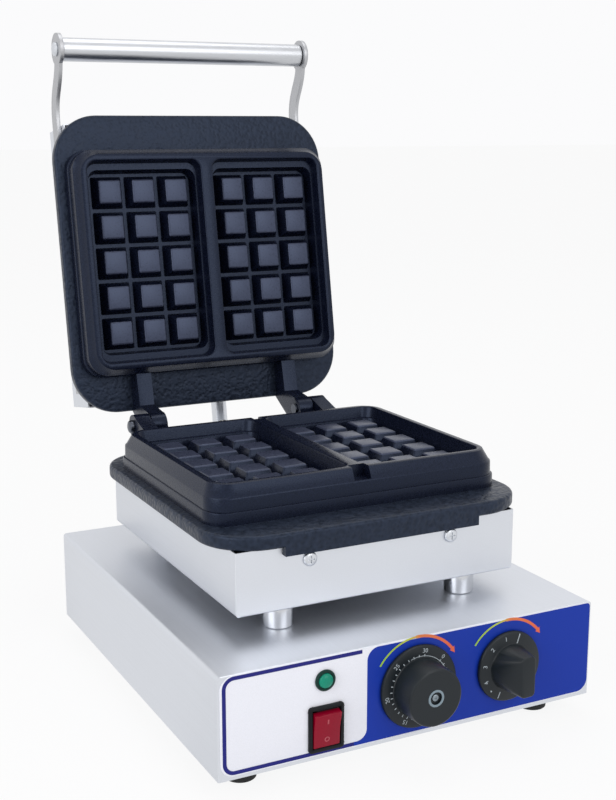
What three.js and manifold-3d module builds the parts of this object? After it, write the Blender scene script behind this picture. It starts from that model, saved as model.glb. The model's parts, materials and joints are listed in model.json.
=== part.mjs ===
// A commercial waffle maker with two cavities, its lid open.
// Millimetres, +Z up, front towards -Y. The origin is on the table, under the middle of the whole machine.
import * as THREE from 'three';
import { mergeVertices } from 'three/addons/utils/BufferGeometryUtils.js';
import Module from 'manifold-3d';

const wasm = await Module();
wasm.setup();

// Clearances
const seatGap = 0.3;
const turnGap = 0.3;
const overrun = 2;

// Base casing
const casingSideMargin = 20;
const casingFrontMargin = 45.3;
const casingRearMargin = 33;
const casingHeight = 65.7;
const casingWall = 1;
const casingBend = 3;
const gussetSize = 42;
const gussetThickness = 1.5;

// Bottom plate and its vents
const bottomThickness = 1;
const ventLength = 60;
const ventWidth = 4;
const ventPitch = 12;
const ventCount = 5;

// Rubber feet
const footHeight = 14;
const footRadius = 11;
const footTipRadius = 9.5;
const footStemRadius = 4;
const footBarbRadius = 5.5;
const footBarbHeight = 4;
const footInsetX = 26;
const footInsetY = 27;

// Front panel, a printed sheet on the casing's front wall
const panelSideMargin = 1.4;
const panelTopMargin = 0.5;
const panelBottom = 2.4;
const panelCorner = 8.5;
const panelThickness = 0.5;

// Standoffs between the casing and the heater box, with weld nuts for their studs
const standoffHeight = 13.9;
const standoffRadius = 10;
const standoffSideInset = 34.6;
const standoffFrontInset = 12.7;
const standoffRearInset = 13.2;
const studRadius = 3;
const studLength = 7;
const weldNutRadius = 7;
const weldNutHeight = 5;

// Sleeve that takes the leads up into the heater box
const sleeveRadius = 13;
const sleeveWall = 1.5;
const sleeveFlangeWidth = 3;
const sleeveInset = 43.2;

// Heater box and lid cover, two equal folded trays
const traySideInset = 12.4;
const trayEndInset = 5.3;
const trayHeight = 41.6;
const trayWall = 1;
const trayBend = 3;

// Castings: the flange, the two tiers of the rim, the cavities and their studs
const flangeWidth = 230;
const flangeDepth = 233;
const flangeThickness = 9.5;
const flangeCorner = 30;
const flangeEdge = 2;
const tierSideInset = 8;
const tierEndInset = 29.5;
const tierHeight = 17.5;
const tierCorner = 9;
const rimSideInset = 3.5;
const rimEndInset = 4;
const rimHeight = 8;
const rimCorner = 7;
const landWidth = 5.5;
const dividerWidth = 10;
const mouthCorner = 5;
const mouthDraft = 1.5;
const ledgeDepth = 8;
const wellDraft = 2;
const wellCorner = 3;
const cavityDepth = 17.3;
const gridPitch = 27.3;
const gridColumns = 3;
const gridRows = 5;
const gridMargin = 1;
const waffleStudTop = 17;
const waffleStudFoot = 25.3;
const waffleStudHeight = 10.3;
const frontNotchWidth = 12.5;
const rearNotchWidth = 6.5;
const plateGap = 0.6;

// Underside of a casting: heater recess, screw bosses, clamp boss and the front tab
const recessSideInset = 12;
const recessEndInset = 3;
const recessHeight = 8;
const screwX = 52;
const screwDrop = 11;
const bossWidth = 16;
const bossLength = 13;
const bossHeight = 18;
const tabWidth = 142;
const tabDrop = 5.5;
const clampBossRadius = 7;

// Pan head screws of the heater box and of the lid cover
const screwHeadRadius = 5;
const screwHeadHeight = 2.6;
const screwHeadEdge = 1.6;
const screwHeadCrown = 3.5;
const screwShankRadius = 2;
const screwLength = 9;

// Hinge
const hingeSetback = 10;
const hingeDrop = 8;
const lidTilt = 9.8;
const lugThickness = 12;
const lugSideInset = 39;
const lugGap = 1;
const knuckleRadius = 9;
const lugRise = 14.5;
const webAngle = Math.PI / 3;
const webToeReach = 14.4;
const webToeRise = 16.7;
const webBackReach = 7.2;
const webBackRise = 14.4;
const heelLength = 26;
const pinRadius = 3.2;
const pinHeadRadius = 5;
const pinHeadHeight = 3.5;
const pinTailRadius = 4.3;
const pinTailHeight = 1.5;

// Heating elements, their clamps and the insulation boards
const elementRadius = 4;
const elementSideInset = 19;
const elementInnerX = 32;
const elementEndInset = 18;
const elementMiddleV = -8;
const elementEndX = 14;
const elementBend = 12;
const elementDrop = 20;
const clampOverhang = 12;
const clampWidth = 16;
const clampThickness = 2.5;
const clampV = 30;
const clampScrewRadius = 2.5;
const clampScrewHeadRadius = 4.5;
const clampScrewHeadHeight = 3;
const clampScrewLength = 9;
const boardThickness = 12;
const boardMargin = 7.6;

// Thermostat bulb and its capillary tube
const bulbRadius = 3;
const bulbLength = 46;
const bulbFrontV = 4;
const capillaryRadius = 1.1;
const capillaryReach = 34;
const capillaryLead = 21;

// Handle: straps, eyes, tube, bolts and rivets
const armThickness = 3;
const armWidth = 12;
const armAboveFlange = 13;
const armTailInset = 11.2;
const armBendLead = 4;
const eyeLead = 55.6;
const eyeDrop = 21;
const eyeRadius = 12.5;
const tubeRadius = 9;
const tubeWall = 1.5;
const tubePlug = 20;
const boltRadius = 3;
const boltLength = 16;
const boltHeadRadius = 5.5;
const boltHeadHeight = 3;
const boltHeadCrown = 3.3;
const rivetRadius = 2.5;
const rivetHeadRadius = 4.5;
const rivetHeadHeight = 2;
const rivetHeadCrown = 2.7;
const rivetTailRadius = 3.6;
const rivetFrontV = 70;
const rivetRearV = -70;

// Pilot lamp
const lampX = -65.4;
const lampZ = 50.6;
const lampRimRadius = 6.7;
const lampRimHeight = 1.5;
const lampBarrelRadius = 4.7;
const lampBarrelLength = 24;
const lampRimWidth = 1.3;
const lensRise = 2.4;

// Rocker switch
const switchX = -64.9;
const switchZ = 20.2;
const bezelWidth = 23.7;
const bezelHeight = 29.3;
const bezelThickness = 2;
const bezelCorner = 1.5;
const switchBodyWidth = 21;
const switchBodyHeight = 27;
const switchBodyDepth = 24;
const rockerWidth = 18.4;
const rockerRadius = 12.4;
const rockerDepth = 3;
const rockerProud = 0.6;
const rockerPivotDepth = 3.5;
const rockerDish = 1.4;
const rockerTilt = 8;
const tabLength = 8;
const tabSize = 5;
const tabThickness = 1;
const tabPitch = 8;

// Timer and its knob
const timerX = -0.5;
const knobZ = 34;
const timerSkirtRadius = 27.2;
const skirtThickness = 3;
const skirtLift = 0.8;
const skirtEdge = 1;
const timerCapRadius = 18.6;
const timerCapFoot = 19.2;
const capHeight = 24;
const capEdge = 1.2;
const hubRadius = 5;
const hubRise = 0.5;
const timerBodySize = 46;
const timerBodyDepth = 42;
const bushRadius = 5;
const bushProud = 0.4;
const shaftRadius = 3;
const shaftInBody = 10;
const shaftInKnob = 14;
const shaftFlat = 1.8;

// Thermostat and its knob
const thermostatX = 67.4;
const thermostatSkirtRadius = 23.5;
const gripFootRadius = 15;
const gripFootHeight = 1.5;
const gripWidth = 11;
const gripHeight = 27;
const gripCorner = 3;
const thermostatBodyWidth = 34;
const thermostatBodyHeight = 44;
const thermostatBodyDepth = 30;

// Terminal block, loom and cable gland
const terminalX = -62;
const terminalInset = 38.7;
const terminalLength = 44;
const terminalWidth = 18;
const terminalHeight = 20;
const terminalWays = 4;
const terminalHoleRadius = 2;
const loomRadius = 3.5;
const branchRadius = 1.75;
const loomLead = 21;
const loomFrontY = 84;
const glandInset = 55;
const glandZ = 36;
const glandRadius = 11;
const glandBore = 4;
const glandLength = 16;
const glandThreadRadius = 8;
const glandThreadLength = 10;

// Conduit between the casing and the lid
const conduitX = 17;
const conduitRadius = 5;
const conduitWall = 1;
const conduitInset = 13.7;
const fittingRadius = 6.3;
const fittingLength = 14;
const fittingNutRadius = 10;
const fittingNutHeight = 5;
const fittingThread = 7;
const conduitPull = 36;
const conduitLift = 39;

// Smoothness
const roundSides = 16;
const knobSides = 24;
const smallSides = 8;
const screwSides = 10;
const cornerSteps = 3;
const edgeSteps = 2;
const barSides = 6;
const wireSides = 5;
const loomSteps = 20;
const branchSteps = 10;
const riserSteps = 28;
const elementSteps = 48;
const capillarySteps = 48;
const conduitSteps = 20;

// Widths, depths and places, worked out from the sizes above
const trayWidth = flangeWidth - 2 * traySideInset;
const trayDepth = flangeDepth - 2 * trayEndInset;
const plateCentreY = casingFrontMargin + trayDepth / 2;
const casingWidth = flangeWidth + 2 * casingSideMargin;
const casingDepth = casingFrontMargin + trayDepth + casingRearMargin;
const panelWidth = casingWidth - 2 * panelSideMargin;
const panelHeight = casingHeight - panelBottom - panelTopMargin;
const baseLugX = flangeWidth / 2 - lugSideInset;
const lidLugX = baseLugX - lugThickness - lugGap;
const tierWidth = flangeWidth - 2 * tierSideInset;
const tierDepth = flangeDepth - 2 * tierEndInset;
const rimWidth = tierWidth - 2 * rimSideInset;
const rimDepth = tierDepth - 2 * rimEndInset;
const recessWidth = tierWidth - 2 * recessSideInset;
const recessDepth = tierDepth - 2 * recessEndInset;
const standoffX = trayWidth / 2 - standoffSideInset;
const sleeveOffset = trayDepth / 2 - sleeveInset;
const hingeReach = flangeDepth / 2 + hingeSetback;
const elementReachX = recessWidth / 2 - elementSideInset;
const elementEndV = recessDepth / 2 - elementEndInset;
const clampLength = 2 * (elementReachX + clampOverhang);
const boardWidth = trayWidth - 2 * boardMargin;
const boardDepth = trayDepth - 2 * boardMargin;
const armTail = trayDepth / 2 - armTailInset;
const armBendStart = trayDepth / 2 + armBendLead;
const eyeReach = trayDepth / 2 + eyeLead;
const glandX = glandInset - casingWidth / 2;
const terminalY = casingDepth - terminalInset;

// Heights above the table
const casingTop = footHeight + casingHeight;
const trayFloor = casingTop + standoffHeight;
const flangeBottom = trayFloor + trayHeight + seatGap;
const partingZ = flangeBottom + flangeThickness + tierHeight + rimHeight;
const castingHeight = partingZ - flangeBottom;
const hingeY = plateCentreY + hingeReach;
const hingeZ = partingZ - hingeDrop;
const openAngle = THREE.MathUtils.degToRad(90 + lidTilt);
const lidPlateZ = hingeDrop + plateGap;
const lidTrayZ = lidPlateZ + castingHeight + seatGap;
const sleeveY = plateCentreY + sleeveOffset;
const rearReach = hingeY + (lidTrayZ + trayHeight) * Math.sin(openAngle)
  - (hingeReach + trayDepth / 2) * Math.cos(openAngle);
const originY = (rearReach - capHeight) / 2;

// Finishes, from the photograph
const finish = (color, roughness, metalness) =>
  new THREE.MeshStandardMaterial({ color, roughness, metalness });
const brushedSteel = () => finish(0xbfc1c6, 0.38, 1);
const polishedSteel = () => finish(0xd0d1d4, 0.15, 1);
const blackCasting = () => finish(0x262b33, 0.5, 0.4);
const blackRubber = () => finish(0x151515, 0.9, 0);
const blackPlastic = () => finish(0x23282d, 0.45, 0);
const panelPrint = () => finish(0x253c9b, 0.35, 0);
const greenLens = () => finish(0x1e8e70, 0.2, 0);
const redRocker = () => finish(0xa8182a, 0.3, 0);
const greyBoard = () => finish(0xc9c5b8, 0.95, 0);
const elementSheath = () => finish(0x6e6a66, 0.5, 0.8);
const copperTube = () => finish(0xb87349, 0.35, 1);
const palePlastic = () => finish(0xe6e2d6, 0.6, 0);
const brass = () => finish(0xb89a4e, 0.35, 1);

// Solids from geometries, and back

function signedVolume(positions, indices) {
  const a = new THREE.Vector3();
  const b = new THREE.Vector3();
  const c = new THREE.Vector3();
  let sum = 0;
  for (let i = 0; i < indices.length; i += 3) {
    a.fromArray(positions, indices[i] * 3);
    b.fromArray(positions, indices[i + 1] * 3);
    c.fromArray(positions, indices[i + 2] * 3);
    sum += a.dot(b.cross(c));
  }
  return sum;
}

function weld(geometry) {
  const bare = geometry.clone();
  bare.deleteAttribute('normal');
  bare.deleteAttribute('uv');
  const merged = mergeVertices(bare);
  const source = merged.index.array;
  const kept = [];
  for (let i = 0; i < source.length; i += 3) {
    const [a, b, c] = [source[i], source[i + 1], source[i + 2]];
    if (a !== b && b !== c && c !== a) kept.push(a, b, c);
  }
  if (signedVolume(merged.attributes.position.array, kept) < 0) kept.reverse();
  merged.setIndex(kept);
  return merged;
}

function toSolid(geometry) {
  const merged = weld(geometry);
  const vertProperties = new Float32Array(merged.attributes.position.array);
  const triVerts = new Uint32Array(merged.index.array);
  return new wasm.Manifold(new wasm.Mesh({ numProp: 3, vertProperties, triVerts }));
}

function toGeometry(solid) {
  const mesh = solid.getMesh();
  const geometry = new THREE.BufferGeometry();
  geometry.setAttribute('position', new THREE.BufferAttribute(new Float32Array(mesh.vertProperties), 3));
  geometry.setIndex(new THREE.BufferAttribute(new Uint32Array(mesh.triVerts), 1));
  return geometry;
}

const join = (...parts) => toGeometry(parts.map(toSolid).reduce((sum, next) => sum.add(next)));

const cut = (stock, ...tools) => toGeometry(tools.map(toSolid).reduce((left, next) => left.subtract(next),
  toSolid(stock)));

// The convex solid that holds two shapes
const wrap = (one, other) => toGeometry(wasm.Manifold.hull([toSolid(one), toSolid(other)]));

const span = (one, other) => [Math.min(one, other), Math.max(one, other)];

// Basic shapes. An axis is 'x', 'y' or 'z', and a shape's two own directions follow it in that order.

const axes = {
  x: new THREE.Matrix4().makeBasis(new THREE.Vector3(0, 1, 0), new THREE.Vector3(0, 0, 1),
    new THREE.Vector3(1, 0, 0)),
  y: new THREE.Matrix4().makeBasis(new THREE.Vector3(0, 0, 1), new THREE.Vector3(1, 0, 0),
    new THREE.Vector3(0, 1, 0)),
  z: new THREE.Matrix4(),
};

function block([x0, x1], [y0, y1], [z0, z1]) {
  const geometry = new THREE.BoxGeometry(x1 - x0, y1 - y0, z1 - z0);
  return geometry.translate((x0 + x1) / 2, (y0 + y1) / 2, (z0 + z1) / 2);
}

function extrude(shape, axis, from, to, options = {}) {
  const settings = { depth: to - from, bevelEnabled: false, curveSegments: cornerSteps, ...options };
  return new THREE.ExtrudeGeometry(shape, settings).translate(0, 0, from).applyMatrix4(axes[axis]);
}

function rod(radius, axis, from, to, [across, up] = [0, 0], sides = roundSides) {
  const geometry = new THREE.CylinderGeometry(radius, radius, to - from, sides);
  geometry.rotateX(Math.PI / 2).translate(across, up, (from + to) / 2);
  return geometry.applyMatrix4(axes[axis]);
}

// A cutting rod whose flats keep the given radius clear
function bore(radius, axis, from, to, place = [0, 0], faces = roundSides) {
  return rod(radius / Math.cos(Math.PI / faces), axis, from, to, place, faces);
}

function turned(profile, axis, [across, up] = [0, 0], sides = roundSides) {
  const points = profile.map(([radius, along]) => new THREE.Vector2(radius, along));
  const geometry = new THREE.LatheGeometry(points, sides);
  geometry.rotateX(Math.PI / 2).translate(across, up, 0);
  return geometry.applyMatrix4(axes[axis]);
}

function roundedRect(width, height, radius) {
  const shape = new THREE.Shape();
  const [w, h] = [width / 2, height / 2];
  shape.moveTo(radius - w, -h);
  shape.lineTo(w - radius, -h);
  shape.absarc(w - radius, radius - h, radius, -Math.PI / 2, 0);
  shape.lineTo(w, h - radius);
  shape.absarc(w - radius, h - radius, radius, 0, Math.PI / 2);
  shape.lineTo(radius - w, h);
  shape.absarc(radius - w, h - radius, radius, Math.PI / 2, Math.PI);
  shape.lineTo(-w, radius - h);
  shape.absarc(radius - w, radius - h, radius, Math.PI, 1.5 * Math.PI);
  return shape;
}

function polygon(points) {
  return new THREE.Shape(points.map(([a, b]) => new THREE.Vector2(a, b)));
}

function circle(radius, sides) {
  const shape = new THREE.Shape();
  for (let i = 0; i < sides; i += 1) {
    const angle = (2 * Math.PI * i) / sides;
    const [a, b] = [radius * Math.cos(angle), radius * Math.sin(angle)];
    if (i === 0) shape.moveTo(a, b);
    else shape.lineTo(a, b);
  }
  return shape;
}

// A plate centred on the Z axis whose upper end keeps its size and whose lower end is smaller all round
function tapered(width, depth, corner, bottom, top, draft) {
  const geometry = extrude(roundedRect(width, depth, corner), 'z', bottom, top);
  const position = geometry.attributes.position;
  for (let i = 0; i < position.count; i += 1) {
    const share = (top - position.getZ(i)) / (top - bottom);
    position.setX(i, position.getX(i) * (1 - (share * 2 * draft) / width));
    position.setY(i, position.getY(i) * (1 - (share * 2 * draft) / depth));
  }
  return geometry;
}

// A round tube or bar along a run of points whose corners are rounded
function bentBar(points, bend, radius, sides, steps) {
  const path = new THREE.CurvePath();
  const corners = points.map((point) => new THREE.Vector3(...point));
  let start = corners[0];
  for (let i = 1; i < corners.length - 1; i += 1) {
    const back = corners[i - 1].clone().sub(corners[i]).setLength(bend).add(corners[i]);
    const ahead = corners[i + 1].clone().sub(corners[i]).setLength(bend).add(corners[i]);
    path.add(new THREE.LineCurve3(start, back));
    path.add(new THREE.QuadraticBezierCurve3(back, corners[i], ahead));
    start = ahead;
  }
  path.add(new THREE.LineCurve3(start, corners[corners.length - 1]));
  return new THREE.ExtrudeGeometry(circle(radius, sides), { steps, extrudePath: path });
}

function add(group, name, geometry, material) {
  const mesh = new THREE.Mesh(weld(geometry), material);
  mesh.name = name;
  group.add(mesh);
  return mesh;
}

const sides = [['left', -1], ['right', 1]];
const ends = [['front', -1], ['rear', 1]];

// Base casing: a folded shell, open below, with corner gussets for the feet and weld nuts for the standoffs

const footX = casingWidth / 2 - footInsetX;
const footYs = { front: footInsetY, rear: casingDepth - footInsetY };
const standoffYs = {
  front: plateCentreY - trayDepth / 2 + standoffFrontInset,
  rear: plateCentreY + trayDepth / 2 - standoffRearInset,
};
const conduitY = casingDepth - conduitInset;

function casingOutline(inset) {
  const half = casingWidth / 2 - inset;
  const top = casingTop - inset;
  const bend = Math.max(casingBend - inset, inset);
  const shape = new THREE.Shape();
  shape.moveTo(footHeight, -half);
  shape.lineTo(top - bend, -half);
  shape.absarc(top - bend, bend - half, bend, -Math.PI / 2, 0);
  shape.lineTo(top, half - bend);
  shape.absarc(top - bend, half - bend, bend, 0, Math.PI / 2);
  shape.lineTo(footHeight, half);
  return shape;
}

function gusset(side, end) {
  const x = side * (casingWidth / 2 - casingWall / 2);
  const y = end < 0 ? casingWall / 2 : casingDepth - casingWall / 2;
  const base = footHeight + bottomThickness + seatGap;
  const shape = polygon([[x, y], [x - side * gussetSize, y], [x - side * gussetSize, y - end * footInsetY],
    [x - side * footInsetX, y - end * gussetSize], [x, y - end * gussetSize]]);
  return extrude(shape, 'z', base, base + gussetThickness);
}

function baseCasing() {
  const outer = extrude(casingOutline(0), 'y', 0, casingDepth);
  const inside = extrude(casingOutline(casingWall), 'y', casingWall, casingDepth - casingWall);
  const mouth = block([casingWall - casingWidth / 2, casingWidth / 2 - casingWall],
    [casingWall, casingDepth - casingWall], [footHeight - overrun, footHeight + casingBend]);
  const added = [];
  const holes = [];
  for (const [, side] of sides) {
    for (const [endName, end] of ends) {
      added.push(gusset(side, end));
      holes.push(bore(footStemRadius + seatGap, 'z', footHeight, casingTop / 2,
        [side * footX, footYs[endName]], smallSides));
      added.push(rod(weldNutRadius, 'z', casingTop - casingWall - weldNutHeight, casingTop - casingWall / 2,
        [side * standoffX, standoffYs[endName]], smallSides));
      holes.push(bore(studRadius + seatGap, 'z', casingTop / 2, casingTop + overrun,
        [side * standoffX, standoffYs[endName]], smallSides));
    }
  }
  holes.push(bore(sleeveRadius + seatGap, 'z', casingTop / 2, casingTop + overrun, [0, sleeveY]));
  holes.push(bore(fittingRadius + seatGap, 'z', casingTop / 2, casingTop + overrun, [conduitX, conduitY]));
  holes.push(bore(glandThreadRadius + seatGap, 'y', casingDepth / 2, casingDepth + overrun,
    [footHeight + glandZ, glandX]));
  holes.push(...frontHoles(casingWall));
  return cut(join(cut(outer, inside, mouth), ...added), ...holes);
}

// Openings in the front wall and in the printed panel on it
function frontHoles(behind) {
  const [from, to] = [-panelThickness - overrun, behind + overrun];
  const halfWidth = switchBodyWidth / 2 + seatGap;
  const halfHeight = switchBodyHeight / 2 + seatGap;
  return [
    bore(lampBarrelRadius + seatGap, 'y', from, to, [footHeight + lampZ, lampX]),
    bore(bushRadius + seatGap, 'y', from, to, [footHeight + knobZ, timerX]),
    bore(bushRadius + seatGap, 'y', from, to, [footHeight + knobZ, thermostatX]),
    block([switchX - halfWidth, switchX + halfWidth], [from, to],
      [footHeight + switchZ - halfHeight, footHeight + switchZ + halfHeight]),
  ];
}

function bottomPlate() {
  const edge = casingWall + seatGap;
  const plate = block([edge - casingWidth / 2, casingWidth / 2 - edge], [edge, casingDepth - edge],
    [footHeight, footHeight + bottomThickness]);
  const holes = [];
  for (const [, side] of sides) {
    for (const [endName] of ends) {
      holes.push(bore(footStemRadius + seatGap, 'z', 0, casingTop,
        [side * footX, footYs[endName]], smallSides));
    }
    for (let i = 0; i < ventCount; i += 1) {
      const x = side * (casingWidth / 4) + (i - (ventCount - 1) / 2) * ventPitch;
      const y = casingDepth / 2;
      holes.push(block([x - ventWidth / 2, x + ventWidth / 2], [y - ventLength / 2, y + ventLength / 2],
        [0, casingTop]));
    }
  }
  return cut(plate, ...holes);
}

function frontPanel() {
  const sheet = extrude(roundedRect(panelHeight, panelWidth, panelCorner), 'y', -panelThickness, 0);
  sheet.translate(0, 0, footHeight + panelBottom + panelHeight / 2);
  return cut(sheet, ...frontHoles(0));
}

function footProfile() {
  const shoulder = footHeight - seatGap;
  const seat = footHeight + bottomThickness + seatGap + gussetThickness + seatGap;
  return [[0, 0], [footTipRadius, 0], [footRadius, shoulder], [footStemRadius, shoulder],
    [footStemRadius, seat], [footBarbRadius, seat], [footStemRadius / 2, seat + footBarbHeight],
    [0, seat + footBarbHeight]];
}

function standoffProfile() {
  const [from, to] = [casingTop + seatGap, trayFloor - seatGap];
  return [[0, casingTop - studLength], [studRadius, casingTop - studLength], [studRadius, from],
    [standoffRadius, from], [standoffRadius, to], [studRadius, to], [studRadius, trayFloor + studLength],
    [0, trayFloor + studLength]];
}

function leadSleeve() {
  const [from, to] = [casingTop + seatGap, trayFloor - seatGap];
  const lip = sleeveRadius + sleeveFlangeWidth;
  const inner = sleeveRadius - sleeveWall;
  const foot = casingTop - studLength;
  const head = trayFloor + studLength;
  const profile = [[sleeveRadius, foot], [sleeveRadius, from], [lip, from], [lip, to], [sleeveRadius, to],
    [sleeveRadius, head], [inner, head], [inner, foot], [sleeveRadius, foot]];
  return turned(profile, 'z', [0, sleeveY]);
}

// Folded tray, open above. Its floor's underside is at Z = 0 and its middle on the Z axis.

function trayOutline(inset, height) {
  const half = trayWidth / 2 - inset;
  const bend = Math.max(trayBend - inset, inset);
  const shape = new THREE.Shape();
  shape.moveTo(height, half);
  shape.lineTo(inset + bend, half);
  shape.absarc(inset + bend, half - bend, bend, Math.PI / 2, Math.PI);
  shape.lineTo(inset, bend - half);
  shape.absarc(inset + bend, bend - half, bend, Math.PI, 1.5 * Math.PI);
  shape.lineTo(height, -half);
  return shape;
}

function tray() {
  const outer = extrude(trayOutline(0, trayHeight), 'y', -trayDepth / 2, trayDepth / 2);
  const inside = extrude(trayOutline(trayWall, trayHeight + overrun), 'y', trayWall - trayDepth / 2,
    trayDepth / 2 - trayWall);
  const holes = [];
  for (const [, side] of sides) {
    for (const [, end] of ends) {
      const wall = end * (trayDepth / 2);
      holes.push(bore(screwShankRadius + seatGap, 'y', wall - overrun, wall + overrun,
        [trayHeight + seatGap - screwDrop, side * screwX], smallSides));
    }
  }
  return cut(outer, inside, ...holes);
}

function heaterBox() {
  const nuts = [];
  const holes = [bore(sleeveRadius + seatGap, 'z', -overrun, weldNutHeight + overrun, [0, sleeveOffset])];
  for (const [, side] of sides) {
    for (const [endName] of ends) {
      const place = [side * standoffX, standoffYs[endName] - plateCentreY];
      const top = trayWall + weldNutHeight;
      nuts.push(rod(weldNutRadius, 'z', trayWall / 2, top, place, smallSides));
      holes.push(bore(studRadius + seatGap, 'z', -overrun, top + overrun, place, smallSides));
    }
  }
  return cut(join(tray(), ...nuts), ...holes);
}

function lidCover() {
  const wall = trayDepth / 2;
  const centre = lidTrayZ + trayHeight - conduitHeight;
  const inlet = bore(fittingRadius + seatGap, 'y', wall - overrun, wall + overrun, [centre, -conduitX]);
  const rivets = [];
  for (const v of [rivetFrontV, rivetRearV]) {
    rivets.push(bore(rivetRadius + seatGap, 'x', -trayWidth / 2 - overrun, trayWidth / 2 + overrun,
      [-v, lidTrayZ + trayHeight - armZ], smallSides));
  }
  return cut(tray(), inlet, ...rivets);
}

// Castings. The parting plane is at Z = 0, the cavities open upwards and the hinge side is at +Y.

const mouthWidth = (rimWidth - dividerWidth) / 2 - landWidth;
const mouthDepth = rimDepth - 2 * landWidth;
const cavityX = (dividerWidth + mouthWidth) / 2;
const wellWidth = gridColumns * gridPitch + 2 * gridMargin + 2 * wellDraft;
const wellDepth = gridRows * gridPitch + 2 * gridMargin + 2 * wellDraft;

function waffleStuds(side) {
  const studs = [];
  const draft = (waffleStudFoot - waffleStudTop) / 2;
  for (let column = 0; column < gridColumns; column += 1) {
    for (let row = 0; row < gridRows; row += 1) {
      const geometry = new THREE.BoxGeometry(waffleStudFoot, waffleStudFoot, waffleStudHeight + overrun);
      const position = geometry.attributes.position;
      for (let i = 0; i < position.count; i += 1) {
        if (position.getZ(i) < 0) continue;
        position.setX(i, position.getX(i) - Math.sign(position.getX(i)) * draft);
        position.setY(i, position.getY(i) - Math.sign(position.getY(i)) * draft);
      }
      geometry.translate(side * cavityX + (column - (gridColumns - 1) / 2) * gridPitch,
        (row - (gridRows - 1) / 2) * gridPitch,
        (waffleStudHeight - overrun) / 2 - cavityDepth);
      studs.push(geometry);
    }
  }
  return studs;
}

function cavity(side) {
  const mouth = tapered(mouthWidth, mouthDepth, mouthCorner, -ledgeDepth, overrun, mouthDraft);
  const well = tapered(wellWidth, wellDepth, wellCorner, -cavityDepth, overrun - ledgeDepth, wellDraft);
  return [mouth.translate(side * cavityX, 0, 0), well.translate(side * cavityX, 0, 0)];
}

function screwBosses() {
  const bosses = [];
  const holes = [];
  for (const [, side] of sides) {
    for (const [, end] of ends) {
      const x = side * screwX;
      const wall = trayDepth / 2 - trayWall - seatGap;
      bosses.push(block([x - bossWidth / 2, x + bossWidth / 2], span(end * wall, end * (wall - bossLength)),
        [-castingHeight - bossHeight, overrun - castingHeight]));
      const [from, to] = span(end * (wall + overrun), end * (wall - screwLength));
      const z = -castingHeight - screwDrop;
      holes.push(bore(screwShankRadius + seatGap, 'y', from, to, [z, x], smallSides));
    }
  }
  return { bosses, holes };
}

function casting(notched, lugs) {
  const flangeFlat = roundedRect(flangeWidth - 2 * flangeEdge, flangeDepth - 2 * flangeEdge,
    flangeCorner - flangeEdge);
  const flange = extrude(flangeFlat, 'z', flangeEdge - castingHeight,
    flangeThickness - flangeEdge - castingHeight,
    { bevelEnabled: true, bevelSize: flangeEdge, bevelThickness: flangeEdge, bevelSegments: edgeSteps });
  const inFlange = overrun - castingHeight;
  const tier = extrude(roundedRect(tierWidth, tierDepth, tierCorner), 'z', inFlange, -rimHeight);
  const rim = extrude(roundedRect(rimWidth, rimDepth, rimCorner), 'z', inFlange, 0);
  const overhang = (flangeDepth - trayDepth) / 2;
  const tab = block([-tabWidth / 2, tabWidth / 2], [-flangeDepth / 2, overhang - seatGap - flangeDepth / 2],
    [-castingHeight - tabDrop, flangeThickness / 2 - castingHeight]);
  const recess = extrude(roundedRect(recessWidth, recessDepth, wellCorner), 'z', -castingHeight - overrun,
    recessHeight - castingHeight);
  const clampBoss = rod(clampBossRadius, 'z', -castingHeight, recessHeight + overrun - castingHeight,
    [0, -clampV], smallSides);
  const clampHole = bore(clampScrewRadius + seatGap, 'z', -castingHeight - overrun,
    recessHeight - castingHeight, [0, -clampV], smallSides);
  const { bosses, holes } = screwBosses();
  const cutters = [...cavity(-1), ...cavity(1), recess];
  if (notched) {
    const half = rimDepth / 2;
    const inner = half - landWidth - overrun;
    cutters.push(block([-frontNotchWidth / 2, frontNotchWidth / 2], [-half - overrun, -inner],
      [-rimHeight, overrun]));
    cutters.push(block([-rearNotchWidth / 2, rearNotchWidth / 2], [inner, half + overrun],
      [-rimHeight, overrun]));
  }
  const body = cut(join(flange, tier, rim, tab, ...lugs), ...cutters);
  return cut(join(body, ...waffleStuds(-1), ...waffleStuds(1), ...bosses, clampBoss), ...holes, clampHole);
}

// Hinge lugs, drawn in Y and Z from the hinge axis

const rimWallY = tierDepth / 2 - hingeReach;
const flangeRearY = flangeDepth / 2 - hingeReach;

function lug(outline, x) {
  const [from, to] = [x - lugThickness / 2, x + lugThickness / 2];
  return extrude(polygon(outline), 'x', from, to);
}

const knuckle = (x) => rod(knuckleRadius, 'x', x - lugThickness / 2, x + lugThickness / 2);
const pinBore = (x) => bore(pinRadius + turnGap, 'x', x - lugThickness / 2 - overrun,
  x + lugThickness / 2 + overrun);

function baseLug(side) {
  const x = side * baseLugX;
  const flangeTop = hingeDrop - castingHeight + flangeThickness;
  const root = flangeTop - flangeThickness / 2;
  const web = lug([[rimWallY - overrun, root], [flangeRearY - flangeEdge, root],
    [knuckleRadius * Math.cos(webAngle), -knuckleRadius * Math.sin(webAngle)],
    [knuckleRadius, 0], [0, knuckleRadius],
    [rimWallY - overrun, flangeTop + lugRise]], x);
  return cut(join(web, knuckle(x)), pinBore(x)).translate(0, hingeReach, -hingeDrop);
}

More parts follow.
